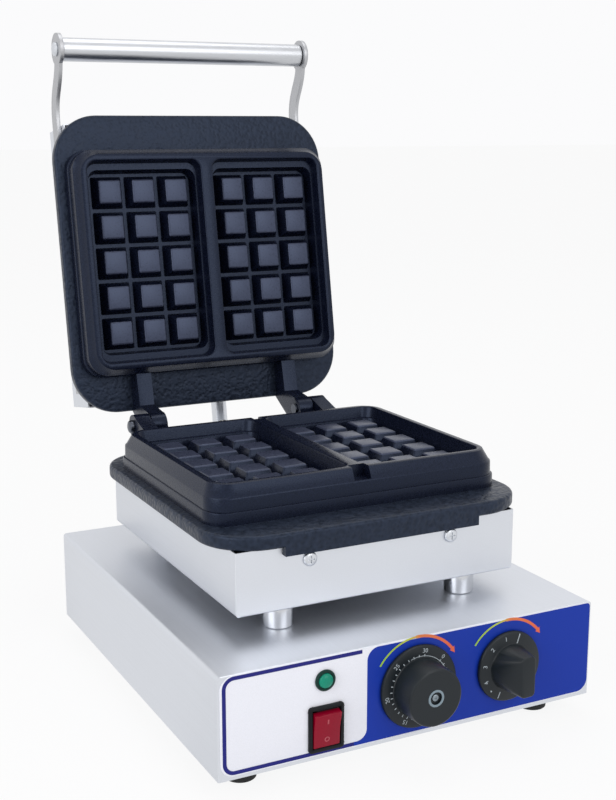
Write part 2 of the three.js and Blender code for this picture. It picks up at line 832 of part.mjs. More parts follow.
function lidLug(side) {
  const x = side * lidLugX;
  const face = lidPlateZ + castingHeight - flangeThickness;
  const root = face + flangeThickness / 2;
  const web = lug([[rimWallY - overrun, root], [rimWallY - overrun, face - lugRise],
    [-webToeReach, face - webToeRise], [-knuckleRadius, 0], [knuckleRadius, 0],
    [webBackReach, webBackRise], [flangeRearY - flangeEdge, root]], x);
  const heelFace = flangeRearY + seatGap;
  const heel = lug([[heelFace, 0], [heelFace, -heelLength], [0, -heelLength], [0, 0]], x);
  const whole = cut(join(web, knuckle(x), heel.rotateX(openAngle)), pinBore(x));
  return whole.translate(0, hingeReach, -lidPlateZ).rotateY(Math.PI);
}

function hingePin(side) {
  const inner = lidLugX - lugThickness / 2 - turnGap;
  const outer = baseLugX + lugThickness / 2 + turnGap;
  const tail = inner - pinTailHeight;
  const head = outer + pinHeadHeight;
  const profile = [[0, tail], [pinTailRadius, tail], [pinTailRadius, inner], [pinRadius, inner],
    [pinRadius, outer], [pinHeadRadius, outer], [pinHeadRadius, (outer + head) / 2],
    [pinHeadRadius / 2, head], [0, head]];
  const pin = turned(profile, 'x', [0, 0], screwSides);
  if (side < 0) pin.rotateZ(Math.PI);
  return pin.translate(0, hingeY, hingeZ);
}

// Heater, clamp, board and screws, drawn from a casting's parting plane as the lower one has them

const elementZ = recessHeight - castingHeight - seatGap - elementRadius;
const clampTop = elementZ - elementRadius - seatGap;

function element() {
  const end = elementZ - elementDrop;
  const [far, near, tip] = [elementReachX, elementInnerX, elementEndX];
  const points = [[-tip, elementEndV, end], [-tip, elementEndV, elementZ], [-far, elementEndV, elementZ],
    [-far, -elementEndV, elementZ], [-near, -elementEndV, elementZ], [-near, elementMiddleV, elementZ]];
  const mirrored = points.map(([x, y, z]) => [-x, y, z]).reverse();
  return bentBar([...points, ...mirrored], elementBend, elementRadius, barSides, elementSteps);
}

function elementClamp() {
  const under = clampTop - clampThickness;
  const bar = block([-clampLength / 2, clampLength / 2],
    [-clampV - clampWidth / 2, clampWidth / 2 - clampV], [under, clampTop]);
  const hole = bore(clampScrewRadius + seatGap, 'z', under - overrun, clampTop + overrun, [0, -clampV],
    smallSides);
  return cut(bar, hole);
}

function clampScrew() {
  const seat = clampTop - clampThickness - seatGap;
  return turned([[0, seat - clampScrewHeadHeight], [clampScrewHeadRadius, seat - clampScrewHeadHeight],
    [clampScrewHeadRadius, seat], [clampScrewRadius, seat], [clampScrewRadius, seat + clampScrewLength],
    [0, seat + clampScrewLength]], 'z', [0, -clampV], smallSides);
}

function insulation(drilled) {
  const floor = trayWall - castingHeight - trayHeight;
  const board = block([-boardWidth / 2, boardWidth / 2], [-boardDepth / 2, boardDepth / 2],
    [floor, floor + boardThickness]);
  if (!drilled) return board;
  const holes = [bore(sleeveRadius + seatGap, 'z', floor - overrun, floor + boardThickness + overrun,
    [0, sleeveOffset])];
  for (const [, side] of sides) {
    for (const [endName] of ends) {
      holes.push(bore(weldNutRadius + seatGap, 'z', floor - overrun, floor + boardThickness + overrun,
        [side * standoffX, standoffYs[endName] - plateCentreY], smallSides));
    }
  }
  return cut(board, ...holes);
}

function traySideScrew(side, end) {
  const seat = -trayDepth / 2 - seatGap;
  const tip = screwLength - trayDepth / 2;
  const profile = [[0, seat - screwHeadHeight], [screwHeadCrown, seat - screwHeadHeight],
    [screwHeadRadius, seat - screwHeadEdge], [screwHeadRadius, seat], [screwShankRadius, seat],
    [screwShankRadius, tip], [0, tip]];
  const screw = turned(profile, 'y', [0, 0], screwSides);
  if (end > 0) screw.rotateZ(Math.PI);
  return screw.translate(side * screwX, 0, -castingHeight - screwDrop);
}

// Thermostat bulb under the casting, with its tube down the sleeve and along the casing to the thermostat

function thermostatBulb() {
  const z = partingZ + recessHeight - castingHeight - seatGap - bulbRadius;
  const rear = plateCentreY + bulbFrontV + bulbLength;
  const bulb = rod(bulbRadius, 'y', plateCentreY + bulbFrontV, rear, [z, 0], smallSides);
  const under = casingTop - studLength - 2 * capillaryRadius;
  const back = thermostatBodyDepth + casingWall + seatGap;
  const tube = bentBar([[0, rear - bulbRadius, z], [0, sleeveY, z], [0, sleeveY, under],
    [thermostatX, plateCentreY, under], [thermostatX, back + capillaryReach, under],
    [thermostatX, back + capillaryLead, footHeight + knobZ],
    [thermostatX, back + seatGap, footHeight + knobZ]],
  elementBend / 2, capillaryRadius, wireSides, capillarySteps);
  return join(bulb, tube);
}

// Handle

const armZ = lidPlateZ + castingHeight + armAboveFlange;
const eyeZ = armZ - eyeDrop;
const conduitHeight = lidTrayZ + trayHeight / 2;

function handleArm(side) {
  const half = armWidth / 2;
  const bend = new THREE.CubicBezierCurve(
    new THREE.Vector2(-armBendStart, 0),
    new THREE.Vector2((-armBendStart - eyeReach) / 2, 0),
    new THREE.Vector2((-armBendStart - eyeReach) / 2, -eyeDrop),
    new THREE.Vector2(-eyeReach, -eyeDrop),
  );
  const steps = 2 * cornerSteps;
  const upper = [];
  const lower = [];
  for (let i = 0; i <= steps; i += 1) {
    const point = bend.getPoint(i / steps);
    const tangent = bend.getTangent(i / steps);
    upper.push([point.x + tangent.y * half, point.y - tangent.x * half]);
    lower.push([point.x - tangent.y * half, point.y + tangent.x * half]);
  }
  const outline = [[armTail, half], ...upper, ...lower.reverse(), [armTail, -half]];
  const [from, to] = [trayWidth / 2 + seatGap, trayWidth / 2 + seatGap + armThickness];
  const strap = extrude(polygon(outline), 'x', from, to);
  const eye = rod(eyeRadius, 'x', from, to, [-eyeReach, -eyeDrop]);
  const holes = [bore(boltRadius + seatGap, 'x', from - overrun, to + overrun,
    [-eyeReach, -eyeDrop], smallSides)];
  for (const v of [rivetFrontV, rivetRearV]) {
    holes.push(bore(rivetRadius + seatGap, 'x', from - overrun, to + overrun, [-v, 0], smallSides));
  }
  const arm = cut(join(strap, eye), ...holes);
  if (side < 0) arm.translate(-from - to, 0, 0);
  return arm.translate(0, -hingeReach, armZ);
}

function handleTube() {
  const end = trayWidth / 2 - seatGap;
  const hole = boltRadius + seatGap;
  const inner = tubeRadius - tubeWall;
  const plug = end - tubePlug;
  const profile = [[hole, -end], [tubeRadius, -end], [tubeRadius, end], [hole, end], [hole, plug],
    [inner, plug], [inner, -plug], [hole, -plug], [hole, -end]];
  return turned(profile, 'x', [-hingeReach - eyeReach, eyeZ]);
}

function handleBolt(side) {
  const face = trayWidth / 2 + 2 * seatGap + armThickness;
  const tip = face - armThickness - boltLength;
  const top = face + boltHeadHeight;
  const profile = [[0, tip], [boltRadius, tip], [boltRadius, face], [boltHeadRadius, face],
    [boltHeadRadius, (face + top) / 2], [boltHeadCrown, top], [0, top]];
  const bolt = turned(profile, 'x');
  if (side < 0) bolt.rotateZ(Math.PI);
  return bolt.translate(0, -hingeReach - eyeReach, eyeZ);
}

function armRivet(side, v) {
  const face = trayWidth / 2 + 2 * seatGap + armThickness;
  const back = trayWidth / 2 - trayWall - seatGap;
  const profile = [[0, back - rivetHeadHeight], [rivetTailRadius, back - rivetHeadHeight],
    [rivetTailRadius, back], [rivetRadius, back], [rivetRadius, face], [rivetHeadRadius, face],
    [rivetHeadCrown, face + rivetHeadHeight], [0, face + rivetHeadHeight]];
  const rivet = turned(profile, 'x', [0, 0], screwSides);
  if (side < 0) rivet.rotateZ(Math.PI);
  return rivet.translate(0, -hingeReach - v, armZ);
}

// Pilot lamp

const lampSeat = -panelThickness - seatGap;

function lampBody() {
  const rim = lampSeat - lampRimHeight;
  const floor = lampSeat - seatGap;
  const inner = lampRimRadius - lampRimWidth;
  return turned([[0, floor], [inner, floor], [inner, rim], [lampRimRadius, rim],
    [lampRimRadius, lampSeat], [lampBarrelRadius, lampSeat], [lampBarrelRadius, lampBarrelLength],
    [0, lampBarrelLength]], 'y', [footHeight + lampZ, lampX]);
}

function lampLens() {
  const back = lampSeat - 2 * seatGap;
  const radius = lampRimRadius - lampRimWidth - seatGap;
  const front = lampSeat - lampRimHeight;
  const profile = [[0, back], [radius, back], [radius, front]];
  for (let i = 1; i < cornerSteps; i += 1) {
    const angle = (i / cornerSteps) * (Math.PI / 2);
    profile.push([radius * Math.cos(angle), front - lensRise * Math.sin(angle)]);
  }
  profile.push([0, front - lensRise]);
  return turned(profile, 'y', [footHeight + lampZ, lampX]);
}

// Rocker switch. The rocker is drawn about its pivot, with its face towards -Y.

function switchHousing() {
  const back = lampSeat;
  const bezel = extrude(roundedRect(bezelHeight, bezelWidth, bezelCorner), 'y', back - bezelThickness, back,
    { curveSegments: edgeSteps });
  const body = block([-switchBodyWidth / 2, switchBodyWidth / 2],
    [back - bezelThickness / 2, switchBodyDepth], [-switchBodyHeight / 2, switchBodyHeight / 2]);
  const well = bore(rockerRadius + turnGap, 'x', -rockerWidth / 2 - turnGap, rockerWidth / 2 + turnGap,
    [rockerPivotDepth, 0]);
  const slot = block([-rockerWidth / 2 - turnGap, rockerWidth / 2 + turnGap],
    [back - bezelThickness - overrun, 0], [-slotHalf, slotHalf]);
  const blades = [-1, 0, 1].map((place) => block([-tabSize / 2, tabSize / 2],
    [switchBodyDepth - overrun, switchBodyDepth + tabLength],
    [place * tabPitch - tabThickness / 2, place * tabPitch + tabThickness / 2]));
  return cut(join(bezel, body, ...blades), well, slot).translate(switchX, 0, footHeight + switchZ);
}

const bezelFront = lampSeat - bezelThickness;
const rockerFace = rockerPivotDepth - bezelFront + rockerProud;
const slotHalf = Math.sqrt((rockerRadius + turnGap) ** 2 - (rockerPivotDepth - bezelFront) ** 2);

function rocker() {
  const outline = [[-rockerFace, 0]];
  const tip = Math.PI - Math.acos((rockerFace + rockerDish) / rockerRadius);
  const back = Math.PI / 2 - Math.asin(rockerDepth / rockerRadius);
  for (let i = 0; i <= cornerSteps; i += 1) {
    const angle = tip - (i / cornerSteps) * (tip - back);
    outline.push([rockerRadius * Math.cos(angle), rockerRadius * Math.sin(angle)]);
  }
  const mirrored = outline.slice(1).map(([y, z]) => [y, -z]).reverse();
  return extrude(polygon([...outline, ...mirrored]), 'x', -rockerWidth / 2, rockerWidth / 2);
}

// Timer, thermostat and their knobs, drawn about the shaft with the panel's front face at Y = 0

const skirtBack = -panelThickness - skirtLift;
const skirtFront = skirtBack - skirtThickness;

const skirtProfile = (radius) => [[0, skirtBack], [radius, skirtBack], [radius, skirtFront + skirtEdge],
  [radius - skirtEdge, skirtFront]];

const shaftHole = () => bore(shaftRadius + turnGap, 'y', skirtBack - shaftInKnob, overrun, [0, 0],
  smallSides);

function timerKnob() {
  const face = hubRise - capHeight;
  const profile = [...skirtProfile(timerSkirtRadius), [timerCapFoot, skirtFront],
    [timerCapRadius, face + capEdge], [timerCapRadius - capEdge, face], [hubRadius, face],
    [hubRadius, -capHeight], [0, -capHeight]];
  return cut(turned(profile, 'y', [0, 0], knobSides), shaftHole());
}

function thermostatKnob() {
  const skirt = turned([...skirtProfile(thermostatSkirtRadius), [0, skirtFront]], 'y', [0, 0], knobSides);
  const foot = rod(gripFootRadius, 'y', skirtFront - gripFootHeight, skirtFront + skirtEdge, [0, 0],
    knobSides);
  const face = extrude(roundedRect(gripHeight, gripWidth, gripCorner), 'y', -capHeight, capEdge - capHeight);
  return cut(join(skirt, wrap(foot, face)), shaftHole());
}

function controlShaft() {
  const tip = skirtBack + seatGap - shaftInKnob;
  const flat = block([-shaftRadius, shaftRadius], [tip - overrun, skirtBack], [shaftFlat, 2 * shaftRadius]);
  return cut(rod(shaftRadius, 'y', tip, casingWall + shaftInBody, [0, 0], screwSides), flat);
}

function controlBody(width, height, depth) {
  const front = casingWall + seatGap;
  const body = extrude(roundedRect(height, width, casingBend), 'y', front, front + depth,
    { curveSegments: edgeSteps });
  const bush = rod(bushRadius, 'y', -panelThickness - bushProud, front + overrun);
  const hole = bore(shaftRadius + turnGap, 'y', -panelThickness - overrun, front + shaftInBody);
  const bladeZ = [-height / 4 - tabThickness / 2, tabThickness / 2 - height / 4];
  const blades = [-width / 4, width / 4].map((place) => block([place - tabSize / 2, place + tabSize / 2],
    [front + depth - overrun, front + depth + tabLength], bladeZ));
  return cut(join(body, bush, ...blades), hole);
}

// Terminal block, wiring loom and cable gland

function terminalBlock() {
  const base = footHeight + bottomThickness + seatGap;
  const stock = block([terminalX - terminalLength / 2, terminalX + terminalLength / 2],
    [terminalY - terminalWidth / 2, terminalY + terminalWidth / 2], [base, base + terminalHeight]);
  const holes = [];
  for (let i = 0; i < terminalWays; i += 1) {
    const x = terminalX + (i - (terminalWays - 1) / 2) * (terminalLength / terminalWays);
    holes.push(rod(terminalHoleRadius, 'y', terminalY - terminalWidth, terminalY + terminalWidth,
      [base + terminalHeight / 2, x], smallSides));
    holes.push(rod(terminalHoleRadius, 'z', base + terminalHeight / 2, base + terminalHeight + overrun,
      [x, terminalY], smallSides));
  }
  return cut(stock, ...holes);
}

function wiringLoom() {
  const base = footHeight + bottomThickness + seatGap + loomRadius;
  const start = terminalY - terminalWidth / 2 - seatGap;
  const middle = footHeight + bottomThickness + terminalHeight / 2;
  const trunk = bentBar([[terminalX, start, middle], [terminalX, start - loomLead, middle],
    [terminalX, start - 2 * loomLead, base], [switchX - elementBend, loomFrontY, base],
    [thermostatX, loomFrontY, base]],
  elementBend / 2, loomRadius, barSides, loomSteps);
  const branch = (x, y, z) => bentBar([[x, y, z], [x, loomFrontY, z], [x, loomFrontY, base]],
    elementBend / 2, branchRadius, wireSides, branchSteps);
  const blade = tabLength + seatGap;
  const behindWall = casingWall + seatGap + blade;
  const toLamp = branch(lampX, lampBarrelLength + seatGap, footHeight + lampZ);
  const toSwitch = branch(switchX, switchBodyDepth + blade, footHeight + switchZ);
  const toTimer = branch(timerX - timerBodySize / 4, behindWall + timerBodyDepth,
    footHeight + knobZ - timerBodySize / 4);
  const toThermostat = branch(thermostatX - thermostatBodyWidth / 4, behindWall + thermostatBodyDepth,
    footHeight + knobZ - thermostatBodyHeight / 4);
  const elementEnd = partingZ + elementZ - elementDrop - seatGap;
  const aboveBoard = trayFloor + trayWall + boardThickness + loomRadius;
  const inSleeve = -sleeveWall - loomRadius;
  const endY = plateCentreY + elementEndV;
  const riser = bentBar([[-elementEndX, loomFrontY, base], [inSleeve, loomFrontY + sleeveRadius, base],
    [inSleeve, sleeveY, base], [inSleeve, sleeveY, aboveBoard], [-elementEndX, endY, aboveBoard],
    [-elementEndX, endY, elementEnd]], loomRadius, branchRadius, wireSides, riserSteps);
  return join(trunk, toLamp, toSwitch, toTimer, toThermostat, riser);
}

function cableGland() {
  const wall = casingDepth + seatGap;
  const inner = casingDepth - casingWall - glandThreadLength;
  return turned([[glandBore, inner], [glandThreadRadius, inner], [glandThreadRadius, wall],
    [glandRadius, wall], [glandRadius, wall + glandLength / 2], [glandThreadRadius, wall + glandLength],
    [glandBore, wall + glandLength], [glandBore, inner]], 'y', [footHeight + glandZ, glandX]);
}

// Conduit and its two fittings. A fitting is drawn along +Z from the wall that it stands on.

function conduitFitting() {
  const hole = conduitRadius - conduitWall;
  return turned([[hole, -fittingThread], [fittingRadius, -fittingThread], [fittingRadius, seatGap],
    [fittingNutRadius, seatGap], [fittingNutRadius, seatGap + fittingNutHeight],
    [fittingRadius, seatGap + fittingNutHeight], [fittingRadius, fittingLength], [hole, fittingLength],
    [hole, -fittingThread]], 'z');
}

// The lid's own coordinates run from the hinge axis, as it lies when it is shut
const openPoint = (y, z) => [hingeY + y * Math.cos(openAngle) + z * Math.sin(openAngle),
  hingeZ - y * Math.sin(openAngle) + z * Math.cos(openAngle)];

function lidConduit() {
  const start = casingTop + fittingLength + seatGap;
  const rear = trayDepth / 2 - hingeReach + fittingLength + seatGap;
  const [endY, endZ] = openPoint(rear, conduitHeight);
  const [pullY, pullZ] = openPoint(rear + conduitPull, conduitHeight);
  const path = new THREE.CubicBezierCurve3(
    new THREE.Vector3(conduitX, conduitY, start),
    new THREE.Vector3(conduitX, conduitY, start + conduitLift),
    new THREE.Vector3(conduitX, pullY, pullZ),
    new THREE.Vector3(conduitX, endY, endZ),
  );
  const section = circle(conduitRadius, smallSides);
  return new THREE.ExtrudeGeometry(section, { steps: conduitSteps, extrudePath: path });
}

// Assembly

const machine = new THREE.Group();
machine.position.y = -originY;

function buildBase() {
  const base = new THREE.Group();
  machine.add(base);
  add(base, 'base_casing', baseCasing(), brushedSteel());
  add(base, 'bottom_plate', bottomPlate(), brushedSteel());
  add(base, 'front_panel', frontPanel(), panelPrint());
  for (const [sideName, side] of sides) {
    for (const [endName, end] of ends) {
      const footPlace = [side * footX, footYs[endName]];
      add(base, `foot_${endName}_${sideName}`, turned(footProfile(), 'z', footPlace), blackRubber());
      const place = [side * standoffX, standoffYs[endName]];
      add(base, `standoff_${endName}_${sideName}`, turned(standoffProfile(), 'z', place), polishedSteel());
      const screw = traySideScrew(side, end).translate(0, plateCentreY, partingZ);
      add(base, `heater_box_screw_${endName}_${sideName}`, screw, polishedSteel());
    }
    add(base, `hinge_pin_${sideName}`, hingePin(side), brushedSteel());
  }
  add(base, 'lead_sleeve', leadSleeve(), brushedSteel());
  add(base, 'heater_box', heaterBox(), brushedSteel()).position.set(0, plateCentreY, trayFloor);
  const plate = new THREE.Group();
  plate.position.set(0, plateCentreY, partingZ);
  base.add(plate);
  add(plate, 'lower_plate', casting(true, [baseLug(-1), baseLug(1)]), blackCasting());
  add(plate, 'lower_element', element(), elementSheath());
  add(plate, 'lower_element_clamp', elementClamp(), brushedSteel());
  add(plate, 'lower_clamp_screw', clampScrew(), brushedSteel());
  add(plate, 'lower_insulation', insulation(true), greyBoard());
  add(base, 'thermostat_bulb', thermostatBulb(), copperTube());
  add(base, 'cable_gland', cableGland(), blackPlastic());
  add(base, 'terminal_block', terminalBlock(), palePlastic());
  add(base, 'wiring_loom', wiringLoom(), palePlastic());
  add(base, 'lower_conduit_fitting', conduitFitting(), brass()).position.set(conduitX, conduitY, casingTop);
  add(base, 'lid_conduit', lidConduit(), brushedSteel());
}

function buildControls() {
  const controls = new THREE.Group();
  machine.add(controls);
  add(controls, 'pilot_lamp_body', lampBody(), blackPlastic());
  add(controls, 'pilot_lamp_lens', lampLens(), greenLens());
  add(controls, 'switch_housing', switchHousing(), blackPlastic());
  const switchRocker = add(controls, 'switch_rocker', rocker(), redRocker());
  switchRocker.position.set(switchX, rockerPivotDepth, footHeight + switchZ);
  switchRocker.rotation.x = THREE.MathUtils.degToRad(rockerTilt);
  const timer = new THREE.Group();
  timer.position.set(timerX, 0, footHeight + knobZ);
  controls.add(timer);
  add(timer, 'timer_body', controlBody(timerBodySize, timerBodySize, timerBodyDepth), palePlastic());
  add(timer, 'timer_shaft', controlShaft(), brushedSteel());
  add(timer, 'timer_knob', timerKnob(), blackPlastic());
  const thermostat = new THREE.Group();
  thermostat.position.set(thermostatX, 0, footHeight + knobZ);
  controls.add(thermostat);
  add(thermostat, 'thermostat_body',
    controlBody(thermostatBodyWidth, thermostatBodyHeight, thermostatBodyDepth), brushedSteel());
  add(thermostat, 'thermostat_shaft', controlShaft(), brushedSteel());
  add(thermostat, 'thermostat_knob', thermostatKnob(), blackPlastic());
}

function buildLid() {
  const lid = new THREE.Group();
  lid.position.set(0, hingeY, hingeZ);
  lid.rotation.x = -openAngle;
  machine.add(lid);
  const plate = new THREE.Group();
  plate.position.set(0, -hingeReach, lidPlateZ);
  plate.rotation.y = Math.PI;
  lid.add(plate);
  add(plate, 'upper_plate', casting(false, [lidLug(-1), lidLug(1)]), blackCasting());
  add(plate, 'upper_element', element(), elementSheath());
  add(plate, 'upper_element_clamp', elementClamp(), brushedSteel());
  add(plate, 'upper_clamp_screw', clampScrew(), brushedSteel());
  add(plate, 'upper_insulation', insulation(false), greyBoard());
  for (const [sideName, side] of sides) {
    for (const [endName, end] of ends) {
      add(plate, `lid_cover_screw_${endName}_${sideName}`, traySideScrew(-side, end), polishedSteel());
    }
    add(lid, `handle_arm_${sideName}`, handleArm(side), brushedSteel());
    add(lid, `handle_arm_rivet_front_${sideName}`, armRivet(side, rivetFrontV), brushedSteel());
    add(lid, `handle_arm_rivet_rear_${sideName}`, armRivet(side, rivetRearV), brushedSteel());
    add(lid, `handle_bolt_${sideName}`, handleBolt(side), polishedSteel());
  }
  add(lid, 'handle_tube', handleTube(), polishedSteel());
  const cover = add(lid, 'lid_cover', lidCover(), brushedSteel());
  cover.position.set(0, -hingeReach, lidTrayZ + trayHeight);
  cover.rotation.y = Math.PI;
  const fitting = add(lid, 'upper_conduit_fitting', conduitFitting(), polishedSteel());
  fitting.position.set(conduitX, trayDepth / 2 - hingeReach, conduitHeight);
  fitting.rotation.x = -Math.PI / 2;
}

buildBase();
buildControls();
buildLid();

export default machine;
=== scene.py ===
# A commercial waffle maker with its lid open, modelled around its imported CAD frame.
# Lengths are metres, in the frame's own coordinates, and MM turns millimetres into them.
import contextlib
import json
import math

import bmesh
import bpy
from bpy.props import FloatProperty, FloatVectorProperty, IntProperty, PointerProperty
from mathutils import Matrix, Vector


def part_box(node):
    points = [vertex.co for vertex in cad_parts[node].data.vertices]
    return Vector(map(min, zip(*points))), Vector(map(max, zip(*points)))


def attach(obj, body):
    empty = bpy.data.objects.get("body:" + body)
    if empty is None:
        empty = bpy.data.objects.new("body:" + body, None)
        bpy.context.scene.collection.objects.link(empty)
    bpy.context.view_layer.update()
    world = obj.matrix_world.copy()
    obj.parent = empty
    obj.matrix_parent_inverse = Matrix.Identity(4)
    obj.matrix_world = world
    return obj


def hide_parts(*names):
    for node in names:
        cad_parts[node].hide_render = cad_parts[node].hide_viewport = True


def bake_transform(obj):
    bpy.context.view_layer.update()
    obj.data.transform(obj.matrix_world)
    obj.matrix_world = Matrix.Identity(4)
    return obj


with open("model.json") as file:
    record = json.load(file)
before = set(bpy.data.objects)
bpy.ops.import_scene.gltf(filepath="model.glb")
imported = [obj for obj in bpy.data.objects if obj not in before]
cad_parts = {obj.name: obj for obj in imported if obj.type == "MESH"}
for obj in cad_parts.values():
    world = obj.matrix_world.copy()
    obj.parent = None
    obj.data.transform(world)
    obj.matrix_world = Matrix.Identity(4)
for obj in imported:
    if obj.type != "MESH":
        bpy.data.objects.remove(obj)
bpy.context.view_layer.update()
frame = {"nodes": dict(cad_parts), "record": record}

bl_info = {
    "name": "Waffle maker",
    "version": (1, 0, 0),
    "blender": (4, 5, 0),
    "location": "View3D > Sidebar > Waffle maker",
    "description": "Models a commercial waffle maker, its finishes and its stage around a CAD frame",
    "category": "Add Mesh",
}

MM = 0.001
JOINTS = {joint["name"]: joint for joint in frame["record"]["behaviour"]["joints"]}

# The planes that everything else is placed from
FRONT_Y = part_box("base_casing")[0].y
CASING_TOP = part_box("base_casing")[1].z
TRAY_LOW, TRAY_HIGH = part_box("heater_box")
PLATE_Y = (TRAY_LOW.y + TRAY_HIGH.y) / 2
HINGE = Vector(JOINTS["lid_hinge"]["pos_m"])
OPEN_ANGLE = math.radians(JOINTS["lid_hinge"]["range_deg"][1])
HINGE_DROP = 8 * MM
PARTING_Z = HINGE.z + HINGE_DROP
HINGE_REACH = HINGE.y - PLATE_Y
LID_PLATE_Z = 8.6 * MM

# Sizes that several functions share
CAVITY_X = 51.5 * MM
STUD_TOP = -7 * MM
WELL_FLOOR = (83.9 * MM, 138.5 * MM)
LUG_HALF = 6 * MM
EYE_ALONG, EYE_ACROSS = -166.8 * MM, -21 * MM
DIAL_FACE = 4.2 * MM
PRINT_HEIGHT = 0.06 * MM

# A piece modelled face up, with its height along Z, is turned by these to face the front or the right,
# and half turns bring it to the other side
FACE_FRONT = Matrix.Rotation(math.radians(90), 4, "X")
FACE_RIGHT = Matrix(((0, 0, 1, 0), (1, 0, 0, 0), (0, 1, 0, 0), (0, 0, 0, 1)))
HALF_TURN_Y = Matrix.Rotation(math.pi, 4, "Y")
HALF_TURN_Z = Matrix.Rotation(math.pi, 4, "Z")
LID = Matrix.Translation(HINGE) @ Matrix.Rotation(-OPEN_ANGLE, 4, "X")
LOWER_PLATE = Matrix.Translation((0, PLATE_Y, PARTING_Z))
UPPER_PLATE = LID @ Matrix.Translation((0, -HINGE_REACH, LID_PLATE_Z)) @ HALF_TURN_Y


def linear(code):
    """The linear RGB of an sRGB hex colour"""
    channels = [int(code[i:i + 2], 16) / 255 for i in (1, 3, 5)]
    return [c / 12.92 if c <= 0.04045 else ((c + 0.055) / 1.055) ** 2.4 for c in channels]


def in_metres(points):
    """Points given in millimetres, in metres"""
    return [tuple(size * MM for size in point) for point in points]


def length(name, millimetres, description):
    """A length property, given in millimetres"""
    return FloatProperty(name=name, description=description, default=millimetres * MM, min=0, unit="LENGTH")


def colour(name, code, description):
    """A colour property, given as an sRGB hex code"""
    return FloatVectorProperty(
        name=name, description=description, default=linear(code), min=0, max=1, subtype="COLOR"
    )


class CasingSettings(bpy.types.PropertyGroup):
    """Sizes of the casing, its feet and the front panel"""

    bend: length("Bend", 3, "Outside radius of the casing's folds")
    sheet: length("Sheet", 1, "Thickness of the stainless sheet")
    foot_radius: length("Foot radius", 11, "Radius of a foot under the casing")
    outline_width: length("Outline width", 2.4, "Width of the printed line round the pale field")
    arc_width: length("Arc width", 1.9, "Width of the printed arcs over the knobs")


class PlateSettings(bpy.types.PropertyGroup):
    """Sizes of the waffle castings"""

    lip: length("Lip", 1.1, "Radius of the edge round a cavity's mouth")
    lug_edge: length("Lug edge", 0.8, "Radius of the hinge lugs' edges")
    flange_edge: length("Flange edge", 2.4, "Radius of the flange's rim")
    stud_edge: length("Stud edge", 1.1, "Radius of a waffle stud's edges")
    columns: IntProperty(name="Columns", description="Waffle studs across one cavity", default=3, min=1)
    rows: IntProperty(name="Rows", description="Waffle studs along one cavity", default=5, min=1)


class HandleSettings(bpy.types.PropertyGroup):
    """Sizes of the handle"""

    tube_radius: length("Tube radius", 9, "Radius of the handle tube")
    arm_width: length("Arm width", 12, "Width of an arm")
    eye_radius: length("Eye radius", 12.3, "Radius of the eye at an arm's end")


class Finishes(bpy.types.PropertyGroup):
    """Colours of the finishes"""

    steel: colour("Stainless", "#D9DCE2", "Brushed stainless sheet")
    polished: colour("Polished steel", "#C9CBCF", "Handle tube and standoffs")
    coating: colour("Coating", "#0D1120", "Non-stick coating of the rims and cavities")
    # The stud tops' lighter colour is a painted highlight, where their tops reflect the light
    stud_coating: colour("Stud coating", "#363A4B", "Rubbed non-stick coating of the stud tops")
    rough_coating: colour("Rough coating", "#1E2430", "Non-stick coating of the as-cast flange")
    blue: colour("Panel blue", "#1838A4", "Printed blue field")
    pale: colour("Panel white", "#EEEFF6", "Printed pale field")
    navy: colour("Outline navy", "#26287A", "Printed outline")
    knob: colour("Knobs", "#161D22", "Moulded knobs")
    lamp: colour("Lamp", "#0E8A70", "Pilot lamp lens")
    rocker: colour("Rocker", "#8F0425", "Rocker of the switch")


class StageSettings(bpy.types.PropertyGroup):
    """The camera, the lamps and the floor"""

    lens: FloatProperty(name="Lens", description="Focal length", default=58.27, unit="CAMERA")
    yaw: FloatProperty(
        name="Yaw", description="Turn to the right of +Y", default=math.radians(27.116), subtype="ANGLE"
    )
    pitch: FloatProperty(
        name="Pitch", description="Tilt below the horizon", default=math.radians(12), subtype="ANGLE"
    )
    floor: colour("Floor", "#F2F2F4", "Floor")
    daylight: FloatProperty(name="Daylight", description="Strength of the even light", default=0.62, min=0)


class WaffleMaker(bpy.types.PropertyGroup):
    """All settings of the waffle maker"""

    casing: PointerProperty(type=CasingSettings)
    plates: PointerProperty(type=PlateSettings)
    handle: PointerProperty(type=HandleSettings)
    finishes: PointerProperty(type=Finishes)
    stage: PointerProperty(type=StageSettings)


# Modelling


def deselect_all():
    """Leave nothing selected for the next operator to act on"""
    bpy.ops.object.select_all(action="DESELECT")


def select_only(*pieces):
    """Select some pieces, with the first one active"""
    deselect_all()
    for piece in pieces:
        piece.select_set(True)
    bpy.context.view_layer.objects.active = pieces[0]


def named(name):
    """Name the object just added, and bring its origin to the frame's own"""
    piece = bpy.context.object
    piece.name = name
    piece.data.name = name
    bpy.ops.object.transform_apply(location=True, rotation=True, scale=True)
    return piece


@contextlib.contextmanager
def editing(piece):
    """Edit mode on one piece, with all of its points selected"""
    select_only(piece)
    bpy.ops.object.mode_set(mode="EDIT")
    bpy.ops.mesh.select_mode(type="VERT")
    bpy.ops.mesh.select_all(action="SELECT")
    yield
    bpy.ops.object.mode_set(mode="OBJECT")


def choose(piece, kind, test):
    """In edit mode, select only the verts, edges or faces that pass a test"""
    bpy.ops.mesh.select_mode(type=kind[:-1].upper())
    bpy.ops.mesh.select_all(action="DESELECT")
    mesh = bmesh.from_edit_mesh(piece.data)
    for element in getattr(mesh, kind):
        if test(element):
            element.select_set(True)
    mesh.select_flush_mode()
    bmesh.update_edit_mesh(piece.data)


def middle(edge):
    """The middle of an edge"""
    return (edge.verts[0].co + edge.verts[1].co) / 2


def runs_along(edge, axis):
    """Whether an edge runs along an axis, given as 0, 1 or 2"""
    direction = (edge.verts[1].co - edge.verts[0].co).normalized()
    return abs(direction[axis]) > 0.99


